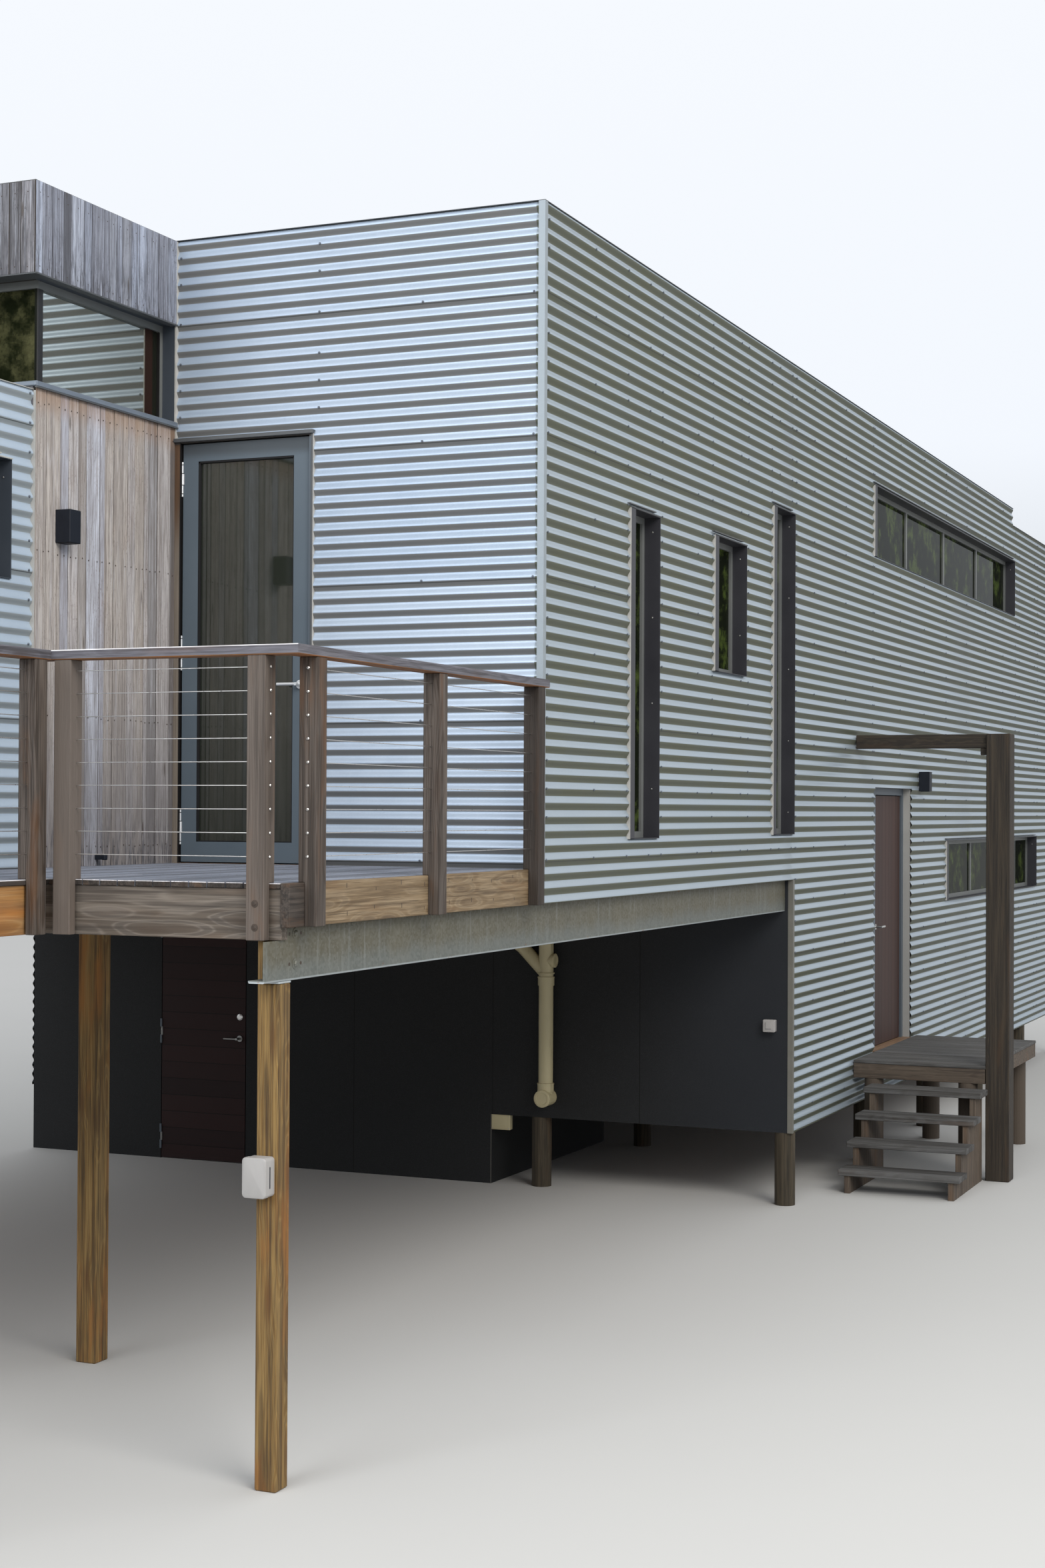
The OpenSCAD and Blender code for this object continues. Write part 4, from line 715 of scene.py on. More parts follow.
dark_paint, film, lay, x, y, z = powder("dark_powder_coat")
lay(mixed(x < -1.0, mixed(film, (0.022, 0.022, 0.027), (0.04, 0.04, 0.048)),
          mixed(film, (0.032, 0.04, 0.052), (0.052, 0.062, 0.078))))
frame_grey, film, lay, x, y, z = powder("window_frame_grey")
high = within(x, left_x, link_x) * within(z, sill + 0.045, head - 0.045) * (y > wing_back + 0.1)
bar = high * ((y < wing_back + 0.22) * (x > link_x - 0.16) + within(y, -0.06, -0.034)) > 0.5
lay(coats(mixed(film, (0.115, 0.122, 0.12), (0.165, 0.172, 0.168)), bar, (0.01, 0.009, 0.009)))
dress(frame_grey, "window_frames")
glass, paint = finish("window_glass", specular_ior_level=0.12, ior=1.14)
point, x, y, z = at(paint)
smear = cloud(point, (2.2, 2.2, 0.8), 5.0, 0.65)
high = within(x, left_x, link_x) * within(y, wing_back + 0.1, 0.05) * (z > sill)
split_x, split_y = link_x - 0.12, -0.165
mirror = (high * (x > split_x) * within(y, wing_back + 0.185, split_y)) > 0.5
brown = (high * (x > split_x) * within(y, split_y, -0.085)) > 0.5
left_pane = (high * (x < split_x)) > 0.5
beside = x > -0.3
# Painted reflections on the panes: an olive mottle on the corner window's left pane and green spots on the side-wall
# windows stand for trees. A dark brown patch near the corner is also a painted reflection, and a grey patch made
# strongly metallic stands for a bright reflection.
tree_reflection = mixed(band(cloud(point, 3, 6.0, 0.7), 0.38, 0.66), (0.006, 0.008, 0.003), (0.1, 0.098, 0.046))
wear(paint, coats(mixed(smear, (0.008, 0.009, 0.007), (0.022, 0.024, 0.018)), left_pane, tree_reflection,
                  brown, (0.03, 0.017, 0.014), beside, (0.006, 0.008, 0.004),
                  band(cloud(point, 5, 6.0, 0.7), 0.48, 0.66) * beside * 0.8, (0.06, 0.085, 0.02),
                  mirror, (0.42, 0.435, 0.395)),
     rough=0.004 + 0.01 * smear, metal=0.9 * mirror, alpha=0.88 + 0.1 * smear + 0.1 * beside)
dress(glass, "window_glass")
door_glass, paint = finish("door_glass", specular_ior_level=0.8, ior=1.75)
smear = cloud(at(paint)[0], (2.2, 2.2, 0.8), 5.0, 0.65)
wear(paint, mixed(smear, (0.014, 0.017, 0.012), (0.032, 0.036, 0.028)), rough=0.02 + 0.04 * smear,
     alpha=0.86 + 0.1 * smear)
dress(door_glass, "deck_door_glass")
sleeve, linings, drips, fixings = 0.004, [], [], []
outsides = [(1, wing_y, -1), (1, back_y, 1), (0, 0.0, 1), (0, left_x, -1), (0, link_x, 1)]


def slab(axis, near_face, far_face, u0, u1, z0, z1):
    """The lowest and highest corner of a box between two planes on an axis, along the other from u0 to u1."""
    low, high = np.zeros(3), np.zeros(3)
    low[axis], high[axis] = sorted((near_face, far_face))
    low[1 - axis], high[1 - axis], low[2], high[2] = u0, u1, z0, z1
    return low, high


for lo, hi in frames:
    axis = 0 if hi[0] - lo[0] < 0.1 else 1
    other = 1 - axis
    if hi[other] - lo[other] < 0.1 or hi[axis] - lo[axis] > 0.1 or abs(lo[2] - sill) < 0.01:
        continue
    surface, side = min(((v, s) for a, v, s in outsides if a == axis),
                        key=lambda f: abs(f[0] - (lo[axis] + hi[axis]) / 2))
    lip = 0.006 if surface in (0.0, link_x) else 0.0
    planes = (axis, surface + side * lip, hi[axis] if side > 0 else lo[axis])
    u0, u1, z0, z1 = lo[other], hi[other], lo[2], hi[2]
    linings += [slab(*planes, *ends) for ends in (
        (u0, u0 + (0.074 if surface == 0.0 else sleeve), z0, z1), (u1 - sleeve, u1, z0, z1),
        (u0, u1, z0, z0 + sleeve), (u0, u1, z1 - sleeve, z1))]
    if lip:
        drips.append(slab(axis, surface - 0.006, surface + 0.015, u0 - 0.045, u1 - 0.1, z1 + 0.014, z1 + 0.021))
        drips.append(slab(axis, surface - 0.012, surface + 0.008, u0 - 0.004, u1 + 0.004, z1 - 0.001, z1 + 0.006))
        fixings += [(surface - 0.045, u1 - sleeve, h) for h in np.arange(z1 - 0.09, z0 + 0.05, -0.52)]
linings += [slab(0, link_x - 0.085, link_x + 0.004, -0.004, -0.0005, sill, head),
            slab(0, link_x - 0.085, link_x + 0.004, wing_back + 0.004, 0.0, head - 0.004, head)]
build("window_linings", [planks(*zip(*linings), 2, 0.0008)], [dark_paint])
build("window_drips", [planks(*zip(*drips), 1, 0.001, 0)], [trim])
bright = mottled("plated_fixings", 60, (0.2, 0.205, 0.21), (0.44, 0.44, 0.42), 0.32, 0.3, 2.0, metallic=0.9)
build("lining_screws", [heads(fixings, 1, -1, 0.0055, 0.003)], [bright])
build("corner_sill", [
    planks((link_x - 0.08, wing_back - 0.006, sill - 0.012), (link_x + 0.02, 0.0, sill + 0.016), 1, 0.003, 0),
    planks((link_x + 0.01, wing_back - 0.01, sill - 0.02), (link_x + 0.023, 0.0, sill - 0.012), 1, 0.001, 1),
    planks((left_x + 0.01, wing_back - 0.016, sill - 0.011),
           (link_x + 0.018, wing_back + 0.1, sill + 0.014), 0, 0.003, 0),
    planks((link_x - 0.03, wing_back - 0.004, head - 0.01), (link_x + 0.016, 0.0, head - 0.001), 1, 0.001, 1),
    planks((left_x + 0.01, wing_back - 0.012, head - 0.009),
           (link_x + 0.014, wing_back + 0.1, head - 0.002), 0, 0.001, 1)],
    [blue_grey, trim])


# The deck door: a grey-blue aluminium frame and leaf with one tall pane in a black seal, three
# stainless hinges and a lever. On its hinge side a bare timber jamb meets the boards.
leaf_paint, film, lay, x, y, z = powder("grey_blue_powder_coat", 2, 260)
pane_lo, pane_hi = local("deck_door_glass")
leaf_face = pane_lo[1] - 0.018
metal = ((y < leaf_face - 0.002) * (x > link_x + 0.041)) > 0.5
knuckle = (x < link_x + 0.058) * metal


hinge_mid, hinge_gap, knuckle_end, line_half = 3.756, 0.995, 0.033, 0.0022


def mark_at(height):
    """The distance up or down from the middle of the nearest of the three hinges."""
    far = abs(height - hinge_mid)
    return abs(far - hinge_gap * (far > 0.5))


lines = knuckle * (abs(mark_at(z) - knuckle_end) < line_half) > 0.5
# Painted shadow: the top of the leaf, just under the drip, is darkened.
lay(coats(mixed(film, (0.072, 0.094, 0.116), (0.1, 0.128, 0.154)), metal, (0.8, 0.81, 0.82),
          band(z + 0.05 * film, 4.87, 4.93) * (1 - metal) * 0.65, (0.032, 0.035, 0.038), lines, (0.02, 0.02, 0.02)),
    rough=0.42 + 0.15 * film - 0.12 * metal, metal=metal * 0.7)
dress(leaf_paint, "deck_door")
seal = mottled("door_seal", 30, (0.004, 0.004, 0.005), (0.01, 0.01, 0.011), 0.6, 0.2, specular_ior_level=0.3)
(x0, _, z0), (x1, _, z1) = pane_lo, pane_hi
y0, y1 = leaf_face + 0.001, pane_lo[1] - 0.0005
build("deck_door_seal", [planks([(x0, y0, z0), (x1 - 0.005, y0, z0), (x0, y0, z1 - 0.011), (x0, y0, z0)],
                                [(x0 + 0.012, y1, z1), (x1, y1, z1), (x1, y1, z1), (x1, y1, z0 + 0.006)], 0, 0.001)],
      [seal], body="deck_door")
frame_mix, paint = finish("door_frame_finishes", specular_ior_level=0.4)
point, x, y, z = at(paint)
jamb_x, crack_x, hinge_x = link_x + 0.034, link_x + 0.0405, link_x + 0.052
jamb = (within(x, link_x - 0.001, jamb_x) * (y < 0.2)) > 0.5
crack = (within(x, jamb_x, crack_x) * (y < 0.2)) > 0.5
hinge = (within(x, crack_x, hinge_x) * (y < leaf_face - 0.0005) * (z < door_top - 0.05)) > 0.5
film, fibre = cloud(point, 2, 4.0, 0.6), cloud(point, (120, 120, 3), 4.0, 0.6)
bare = mixed(band(z + 0.5 * fibre, 4.5, 4.9), mixed(fibre, (0.05, 0.042, 0.034), (0.3, 0.25, 0.2)),
             mixed(fibre, (0.042, 0.022, 0.012), (0.145, 0.08, 0.042)))
seams = (abs(mark_at(z) - knuckle_end) < line_half) + (abs(mark_at(z) - 0.083) < line_half)
colour = coats(mixed(film, (0.07, 0.088, 0.108), (0.11, 0.132, 0.155)),
               z > door_top - 0.024, mixed(film, (0.045, 0.04, 0.037), (0.075, 0.068, 0.062)),
               jamb * (z < door_top - 0.02), bare, crack, (0.006, 0.005, 0.005),
               hinge, mixed(seams > 0.5, (0.8, 0.81, 0.82), (0.02, 0.02, 0.02)))
wear(paint, colour, rough=0.42 + 0.3 * jamb - 0.12 * hinge + 0.1 * film, metal=0.7 * hinge, bump=fibre, strength=0.1)
dress(frame_mix, "door_frames")


# The deck: hardwood boards 90 mm apart along the deck and walkway, over joists that hang between
# the fascias. The front fascia has greyed, the side one is still pale pine.
deck_wood = timber("deck_boards", (0.065, 0.07, 0.084), (0.18, 0.2, 0.248), (0.3, 0.33, 0.405), (0.17, 0.135, 0.11),
                   warmth=0.12, knots=0.2, stripes=0.2, tones=0.5, rough=0.72)
board_end = timber("board_ends", (0.008, 0.006, 0.005), (0.035, 0.027, 0.022), (0.075, 0.06, 0.05), (0.09, 0.045, 0.02),
                   warmth=0.3, stripes=0.3, rough=0.8)
# Painted highlight: a near-white timber for the chamfered outer edges of the deck boards and the front top edge of the
# handrail, standing for their lit edges.
edge_highlight = timber("painted_edge_highlight", (0.3, 0.28, 0.28), (0.7, 0.68, 0.7), (0.86, 0.85, 0.88), (0.55, 0.48, 0.44),
               warmth=0.1, rough=0.6)
(_, deck_y, deck_z0), (deck_right, _, deck_z1) = local("deck_boards")
corners = np.array([v.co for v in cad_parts["deck_boards"].data.vertices]) - corner
front_edge = corners[corners[:, 0] > deck_right - 0.001, 1].min()
walk_right = corners[corners[:, 1] < deck_y + 0.001, 0].max()
edges = np.linspace(link_x, deck_right, int(round((deck_right - link_x) / 0.09)) + 1)
lows, highs = [], []
for a, b in zip(edges[:-1] + 0.002, edges[1:] - 0.002):
    on_walk = b < walk_right + 0.01
    if on_walk:
        stops = [wing_y, rng.choice([-3.75, -3.3, -2.4, -1.95]), -0.002]
    else:
        stops = [front_edge + rng.uniform(0, 0.003), -0.002]
    for c, d in zip(stops[:-1], stops[1:]):
        lows.append((a, c + 0.0012, deck_z0))
        highs.append((min(b, walk_right) if on_walk else b, d - 0.0012, deck_z1 - rng.uniform(0, 0.0012)))
deck_top = build("deck_planks", [planks(lows, highs, 1, 0.003)], [deck_wood, board_end, edge_highlight],
                 instead=("deck_boards",))
# Along the deck's outer edges the chamfers take the painted highlight, and the upright faces take the dark end finish.
for poly in deck_top.data.polygons:
    u, v = poly.center.x - corner[0], poly.center.y - corner[1]
    if poly.normal.z < 0.9 and (u > deck_right - 0.006 or (v < front_edge + 0.006 and not u < walk_right - 0.006)):
        poly.material_index = 2 if poly.normal.z > 0.3 else 1
rows = np.concatenate([-0.045 - 0.45 * np.arange(6), np.arange(wing_y, -2.76, 0.45)]) + 0.022
screws = [(u, r, deck_z1 - 0.0006) for r in rows for a, b in zip(edges[:-1], edges[1:])
          if (r > front_edge + 0.02 or b < walk_right) for u in (a + 0.022, b - 0.022)]
build("deck_screws", [heads(screws, 2, 1, 0.004, 0.0012)], [bright])

pine = timber("fascia_pine", (0.055, 0.031, 0.012), (0.185, 0.127, 0.068), (0.31, 0.232, 0.142), (0.17, 0.09, 0.035),
              warmth=0.25, size=1.1, tones=0.2, rough=0.7, long=0.05)
grey_pine = timber("fascia_greyed", (0.014, 0.008, 0.005), (0.08, 0.062, 0.046),
                   (0.2, 0.17, 0.142), (0.105, 0.056, 0.027),
                   warmth=0.25, size=0.8, knots=0.9, stripes=0.85, tones=0.2, long=0.06)
orange_pine = timber("walkway_pine", (0.16, 0.07, 0.022), (0.36, 0.18, 0.055), (0.46, 0.28, 0.12), (0.42, 0.165, 0.035),
                     warmth=0.45, size=0.6, knots=0.8, stripes=0.7, tones=0.2, rough=0.7, long=0.05)
joist_z, joist_w, joist_gap = local("deck_frame")[0][2], 0.045, 0.45
front_y, walk_face, inner, inner_post = front_edge + 0.012, walk_right - 0.012, local("side_beam")[0][0], -2.04


def joists(x0, x1, ys, z0):
    """A row of joists from x0 to x1, one at each y, up to the underside of the boards."""
    return planks(spots(x0, ys, z0), spots(x1, ys + joist_w, deck_z0), 0, 0.003, 0)


deck_joists = -joist_w - joist_gap * np.arange(int((-front_y - 0.055) // joist_gap) + 1)
shapes = [planks((link_x, front_y, joist_z), (-joist_w, front_y + 0.055, deck_z0), 0, 0.003, 0),
          planks((-joist_w, front_y - 0.012, base), (0, -2.56, deck_z1), 1, 0.003, 3),
          planks((-joist_w, -2.56, base), (0, 0, deck_z1), 1, 0.003, 1),
          planks((walk_face - joist_w, wing_y, joist_z), (walk_face, front_y, deck_z0), 1, 0.003, 2),
          joists(link_x, inner, deck_joists, joist_z), joists(inner, -joist_w, deck_joists, base),
          planks(spots([inner_post - joist_w, inner_post], front_y + 0.055, joist_z),
                 spots([inner_post, inner_post + joist_w], -joist_w, deck_z0), 1, 0.003, 0),
          joists(link_x, walk_face - joist_w, np.arange(wing_y, front_y - joist_w, joist_gap), joist_z)]
build("deck_timbers", shapes, [grey_pine, pine, orange_pine, board_end], instead=("deck_frame",))
rim = np.array([(0.0, yy, zz) for yy in -0.12 - 0.26 * np.arange(10) for zz in (base + 0.045, base + 0.15)])
rim[:, 1:] += rng.uniform(-0.015, 0.015, (len(rim), 2))
slits = spots(0, 0.0025, rng.uniform(0.006, 0.011, len(rim)))
build("fascia_nails", [planks(rim - slits, rim + slits + (0.0004, 0, 0), 2, 0.0002)], [board_end])


# The railing: square hardwood posts lapped over the fascias and bolted twice, a flat handrail
# mitred at the corner, and nine stainless wires that end in button heads on the posts.
rail_wood = timber("rail_timber", (0.012, 0.007, 0.004), (0.053, 0.037, 0.027),
                   (0.128, 0.104, 0.088), (0.12, 0.054, 0.02),
                   warmth=0.3, knots=0.3, stripes=0.35, tones=0.8, rough=0.7, long=0.1)
rail_under, rail_top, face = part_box("handrail")[0].z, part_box("handrail")[1].z, local("rail_posts")[1][0]
post_w, half_w = 0.088, 0.044
side_y, front_x = -0.141 - 1.205 * np.arange(3), -0.14 - 0.971 * np.arange(2)
walk_y = np.array([front_y - 0.124, (front_y - 0.124 + wing_y + half_w) / 2, wing_y + half_w])
front_face, walk_edge = front_y - 0.058, walk_face + 0.058


def notched(outer, inner, lapped, foot, axis, middle, tone):
    """A notched post: it stands on the deck from outer to inner, and below the deck only the part
    from outer to lapped goes down to foot. Its outline is carried along the axis, closed at the ends."""
    outline = np.array([(inner, deck_z1), (inner, rail_under), (outer, rail_under), (outer, foot),
                        (lapped, foot), (lapped, deck_z1)])
    rings = np.zeros((2, len(outline), 3))
    rings[:, :, 1 - axis], rings[:, :, 2] = outline[:, 0], outline[:, 1]
    rings[0, :, axis], rings[1, :, axis] = middle - half_w, middle + half_w
    points = rings.reshape(-1, 3)
    return points, joined(rings), 0, {"grain": points[:, [2, 0, 1]] + rng.uniform(0, 40, 3),
                                      "tone": np.full(len(points), tone)}


shapes = [notched(face, face - post_w, 0.0, base, 1, yy, tone) for yy, tone in zip(side_y, (0.07, 0.45, 0.24))]
shapes += [notched(front_face, front_face + post_w, front_y - 0.012, joist_z, 0, xx, tone) for xx,
           tone in zip(front_x, (0.8, 0.95))]
shapes += [notched(walk_edge, walk_edge - post_w, walk_face + 0.012, joist_z, 1, yy, tone) for yy,
           tone in zip(walk_y, (0.55, 0.4, 0.6))]
posts_seen = build("railing_posts", shapes, [rail_wood], instead=("rail_posts",))


def outside(piece, edge=0.0):
    """Turns the faces of closed pieces outwards, and softens their edges by a narrow bevel if asked."""
    work = bmesh.new()
    work.from_mesh(piece.data)
    bmesh.ops.recalc_face_normals(work, faces=work.faces)
    work.to_mesh(piece.data)
    work.free()
    if edge:
        soft = piece.modifiers.new("edges", "BEVEL")
        soft.width, soft.segments, soft.limit_method = edge, 2, "ANGLE"


outside(posts_seen, 0.004)
reach, rail_w, rail_cut = 0.063, 0.098, 0.004
out_y, walk_out = front_y - reach, walk_face + reach
turns = [((reach, -0.05), (reach - rail_w, -0.05))]
turns += [((u, v), (u - rail_w, v + rail_w)) for u, v in ((reach, out_y), (walk_out, out_y), (walk_out, wing_y))]
turns += [((link_x, wing_y), (link_x, wing_y + rail_w))]


def mitred(points):
    """A stretch of flat rail from two pairs of points across it: a cross-section of eight points with
    cut edges at each pair, joined and closed at both ends."""
    rings, low, high, cut = [], rail_under, rail_top, rail_cut
    for a, b in np.array(points, float):
        away = (b - a) / np.linalg.norm(b - a) * cut
        rings.append([(*p, h) for p, h in ((a + away, low), (b - away, low), (b, low + cut), (b, high - cut),
                                           (b - away, high), (a + away, high), (a, high - cut), (a, low + cut))])
    rings = np.array(rings)
    run = rings[-1, :, :2].mean(0) - rings[0, :, :2].mean(0)
    points, order = rings.reshape(-1, 3), [1, 0, 2] if abs(run[1]) > abs(run[0]) else [0, 1, 2]
    return points, joined(rings), 0, {"grain": points[:, order] + rng.uniform(0, 40, 3),
                                      "tone": np.full(16, rng.uniform(0.3, 0.8))}


rails = [mitred(pair) for pair in zip(turns[:-1], turns[1:])]
top_wood = timber("handrail_timber", (0.022, 0.018, 0.018), (0.085, 0.082, 0.098),
                  (0.17, 0.168, 0.195), (0.12, 0.055, 0.024),
                  warmth=0.15, knots=0.3, stripes=0.3, tones=0.3, rough=0.7, long=0.1)
raw_wood = timber("handrail_underside", (0.05, 0.018, 0.006), (0.19, 0.075, 0.022),
                  (0.3, 0.14, 0.05), (0.26, 0.09, 0.02),
                  warmth=0.4)
top_rail = build("top_rail", rails, [top_wood, raw_wood, edge_highlight], instead=("handrail",))
outside(top_rail)
# The handrail's underside takes the raw timber, and its front top chamfer takes the painted highlight.
for poly in top_rail.data.polygons:
    if poly.normal.z < -0.5:
        poly.material_index = 1
    elif poly.center.z > rail_top - 0.005 and poly.normal.y < -0.2:
        poly.material_index = 2

steel = mottled("stainless_steel", 40, (0.52, 0.51, 0.5), (0.72, 0.71, 0.69), 0.22, 0.15, metallic=1.0)
dress(steel, "front_wires", "side_wires", "walkway_wires")
wire_z, mid, front_mid = 2.666 + 0.1 * np.arange(9), face - half_w, front_face + half_w
wire_ends = ((mid, side_y[0], 1, 1), (mid, side_y[2], 1, -1), (front_x[0], front_mid, 0, 1),
             (front_x[1], front_mid, 0, -1),
             (walk_edge - half_w, walk_y[0], 1, 1))


def at_wires(ends, reach, *size):
    """Heads on the posts' faces at the height of every wire."""
    made = []
    for u, v, axis, way in ends:
        place = (u + way * reach, v) if axis == 0 else (u, v + way * reach)
        made.append(heads(spots(*place, wire_z), axis, way, *size, 8))
    return made


build("wire_buttons", at_wires(wire_ends, half_w, 0.007, 0.006), [steel])
worn_steel = mottled("worn_steel", 70, (0.1, 0.08, 0.06), (0.3, 0.28, 0.25), 0.45, 0.2, metallic=0.7)
build("button_eyes", at_wires(wire_ends[:3], 0.0502, 0.003, 0.0005), [worn_steel])
bolt_at = spots(front_x[0], front_face, [2.37, 2.47])
build("rail_bolts", [heads(bolt_at, 1, -1, 0.016, 0.0025, 16), heads(bolt_at, 1, -1, 0.009, 0.005)], [rust])


# The beam: a galvanised steel channel 230 mm deep under the side wall, its flanges turned inwards,
# cut back under the deck's front fascia and bolted through the web, on a short plate over the post.
def rolled(outline, y0, y1):
    """A rolled section: a closed outline in X and Z, carried along Y from y0 to y1, its ends closed."""
    x, z = np.array(outline, float).T
    rings = np.stack([spots(x, y0, z), spots(x, y1, z)])
    area = np.sum(x * np.roll(z, -1) - np.roll(x, -1) * z)
    return rings.reshape(-1, 3), joined(rings, area >= 0), 0, {}


def channel(face_x, depth_x, z0, z1, web=0.008, flange=0.012, upper=True):
    """A channel's outline with its heels rounded: face_x is the web's outer face, the flanges run to
    -X. Without its upper flange the web ends at z1."""
    heel, turn = 0.009, np.linspace(0, np.pi / 2, 5)
    line = [(face_x - depth_x, z0 + flange), (face_x - depth_x, z0)]
    line += [(face_x - heel + heel * np.sin(a), z0 + heel - heel * np.cos(a)) for a in turn]
    if upper:
        line += [(face_x - heel + heel * np.cos(a), z1 - heel + heel * np.sin(a)) for a in turn]
        line += [(face_x - depth_x, z1), (face_x - depth_x, z1 - flange), (face_x - web, z1 - flange)]
    else:
        line += [(face_x, z1), (face_x - web, z1)]
    return (line + [(face_x - web, z0 + flange)])[::-1]


zincked, paint = finish("hot_dip_zinc")
point, x, y, z = at(paint)
run, drip = cloud(point, (2, 5, 1.2), 5.0, 0.65), cloud(point, (30, 30, 2), 4.0, 0.6)
scab = band(cloud(point, (9, 16, 40), 4.0, 0.7), 0.64, 0.7) * band(z, 2.17, 2.145)
scab = scab + band(cloud(point, (7, 9, 30), 4.0, 0.7), 0.62, 0.7) * band(z, 2.352, 2.367)
colour = coats(mixed(run, (0.055, 0.05, 0.03), (0.13, 0.118, 0.08)),
               band(z + 0.1 * run, 2.31, 2.21) * 0.7, mixed(run, (0.085, 0.105, 0.105), (0.175, 0.19, 0.18)),
               cells(point, 75.0, 1).part(0) * 0.14, (0.4, 0.42, 0.4),
               band(drip, 0.52, 0.75) * 0.35, (0.26, 0.28, 0.27),
               band(z, 2.152, 2.144) * 0.7, (0.5, 0.55, 0.58), scab, (0.24, 0.09, 0.03))
wear(paint, colour, rough=0.45 + 0.2 * run + 0.3 * scab, metal=0.3 - 0.28 * scab, bump=drip * 0.5 + run, strength=0.12)
(beam_back, beam_y, pad_z), (beam_face, _, beam_z1) = local("side_beam")
beam_z0, cope_y = 2.14, front_y + 0.055
build("channel_beam", [rolled(channel(beam_face, 0.075, beam_z0, beam_z1), cope_y, lower_y - 0.001),
                       rolled(channel(beam_face, 0.075, beam_z0, joist_z - 0.001, upper=False), beam_y, cope_y),
                       planks((beam_back, -2.701, pad_z), (beam_face, -2.597, beam_z0), 1, 0.001)],
      [zincked], smooth=0.6, instead=("side_beam",))
bolt_z = (2.338, 2.21)
build("beam_bolts", [heads(spots(beam_face, -2.562, bolt_z), 0, 1, *size)
                     for size in ((0.015, 0.01), (0.024, 0.003, 16))],
      [zincked])
build("beam_holes", [heads([(beam_face, yy, zz) for yy in (-2.612, -2.512) for zz in bolt_z], 0, 1, 0.008, 0.0004, 12)],
      [rust])


# Posts, stumps and bearers: treated pine, yellowed by the weather and stained by drips from above.
post_wood = timber("post_pine", (0.03, 0.013, 0.003), (0.16, 0.088, 0.021), (0.285, 0.18, 0.06), (0.23, 0.092, 0.016),
                   warmth=0.4, axis=2, knots=0.7, stripes=0.6, damp=0.5, long=0.12)
stump_wood = timber("stump_pine", (0.016, 0.012, 0.006), (0.042, 0.031, 0.017),
                    (0.072, 0.056, 0.035), (0.075, 0.036, 0.012),
                    warmth=0.35, axis=2, knots=0.3, stripes=0.4, damp=0.6, rough=0.8)
bearer_wood = timber("bearer_pine", (0.03, 0.02, 0.011), (0.085, 0.055, 0.03), (0.14, 0.1, 0.06), (0.12, 0.06, 0.022),
                     warmth=0.25, axis=1, knots=0.4, rough=0.8)
dress(bearer_wood, "bearers")
dress(stump_wood, "stumps")
build("square_posts", [planks(*zip(*solids("undercroft_posts")), 2, 0.006)], [post_wood],
      instead=("undercroft_posts",))


# The undercroft's back wall: dark fibre-cement sheets 1.2 m wide with open joints, and the store's
# door of level red-brown boards in the middle of it.
def boarded(name, along, across, pitch, dark, pale, gap_colour, plate, plate_colour, rough, gloss):
    """A leaf of boards that run along an axis, in courses across another, given as (axis, start) and
    pitch. Each board has its own tone; plate marks the metal parts of the leaf."""
    material, paint = finish(name, specular_ior_level=gloss)
    point, *parts = at(paint)
    axis, start = across
    place, metal = parts[axis] + start, plate(*parts)
    gap, number = band(place % pitch, 0.006, 0.002), place // pitch
    tone = paint.node("TexWhiteNoise", {"noise_dimensions": "1D"}, {"W": number})
    parts[along] = parts[along] + 3.0 * number
    fibre = cloud(paint.vector(*parts), [3 if i == along else 90 for i in range(3)], 5.0, 0.65)
    wear(paint, coats(mixed(fibre * 0.6 + tone * 0.4, dark, pale), gap, gap_colour, metal, plate_colour),
         rough=rough + 0.15 * fibre - 0.25 * metal, metal=metal, bump=fibre * 0.3 - gap * 2.0,
         strength=0.35, depth=0.003)
    return material


sheet_dark, paint = finish("dark_sheets", specular_ior_level=0.3)
point, x, y, z = at(paint)
joint = band(abs(((x + 1.18 + 12.0) % 1.2) - 0.6), 0.5962, 0.5978) * (y < lower_y + 0.01)
weave, haze = cloud(point, 240, 2.0, 0.6), cloud(point, (1.2, 1.2, 1.6), 4.0, 0.55)
edge = (band(abs(x + 2.389), 0.006, 0.003) * (z < low_base)) * (y < lower_y + 0.002)
# Painted light: towards the open side of the undercroft the sheets are painted lighter and bluer.
colour = coats(mixed(haze, (0.0055, 0.006, 0.0062), (0.0125, 0.013, 0.0135)),
               band(weave, 0.4, 0.75) * 0.4, (0.034, 0.036, 0.04),
               band(x, -1.6, -0.2) * 0.6, mixed(haze, (0.012, 0.0145, 0.02), (0.022, 0.026, 0.034)),
               joint, (0.002, 0.002, 0.002), edge, (0.14, 0.135, 0.12))
wear(paint, colour, rough=0.62 + 0.2 * haze, bump=weave * 0.2 - joint * 2.0, strength=0.25, depth=0.003)
dress(sheet_dark, "undercroft_wall_left", "undercroft_wall_over_door", "undercroft_wall_right", "store_walls")
red = boarded("red_brown_boards", 0, (2, 0.02), 0.135, (0.006, 0.0016, 0.0016), (0.03, 0.009, 0.008),
              (0.002, 0.0015, 0.0015),
              lambda x, y, z: (y < lower_y - 0.0015) * 1.0, (0.3, 0.3, 0.29), 0.6, 0.3)
dress(red, "store_door")
build("store_lock", [heads([(-4.62, lower_y, 1.18)], 1, -1, 0.026, 0.006, 20)], [steel], body="store_door")


# The waste pipe: cream plastic, with sockets, a branch and two screwed inspection caps.
cream, paint = finish("cream_pipe", specular_ior_level=0.5)
point = at(paint)[0]
film, grime = cloud(point, (6, 6, 2), 5.0, 0.65), band(cloud(point, (18, 18, 3), 4.0, 0.6), 0.55, 0.75)
wear(paint, coats(mixed(film, (0.38, 0.33, 0.19), (0.52, 0.46, 0.285)), grime * 0.5, (0.16, 0.13, 0.075)),
     rough=0.38 + 0.25 * film, bump=film, strength=0.05)
dress(cream, "waste_pipe")


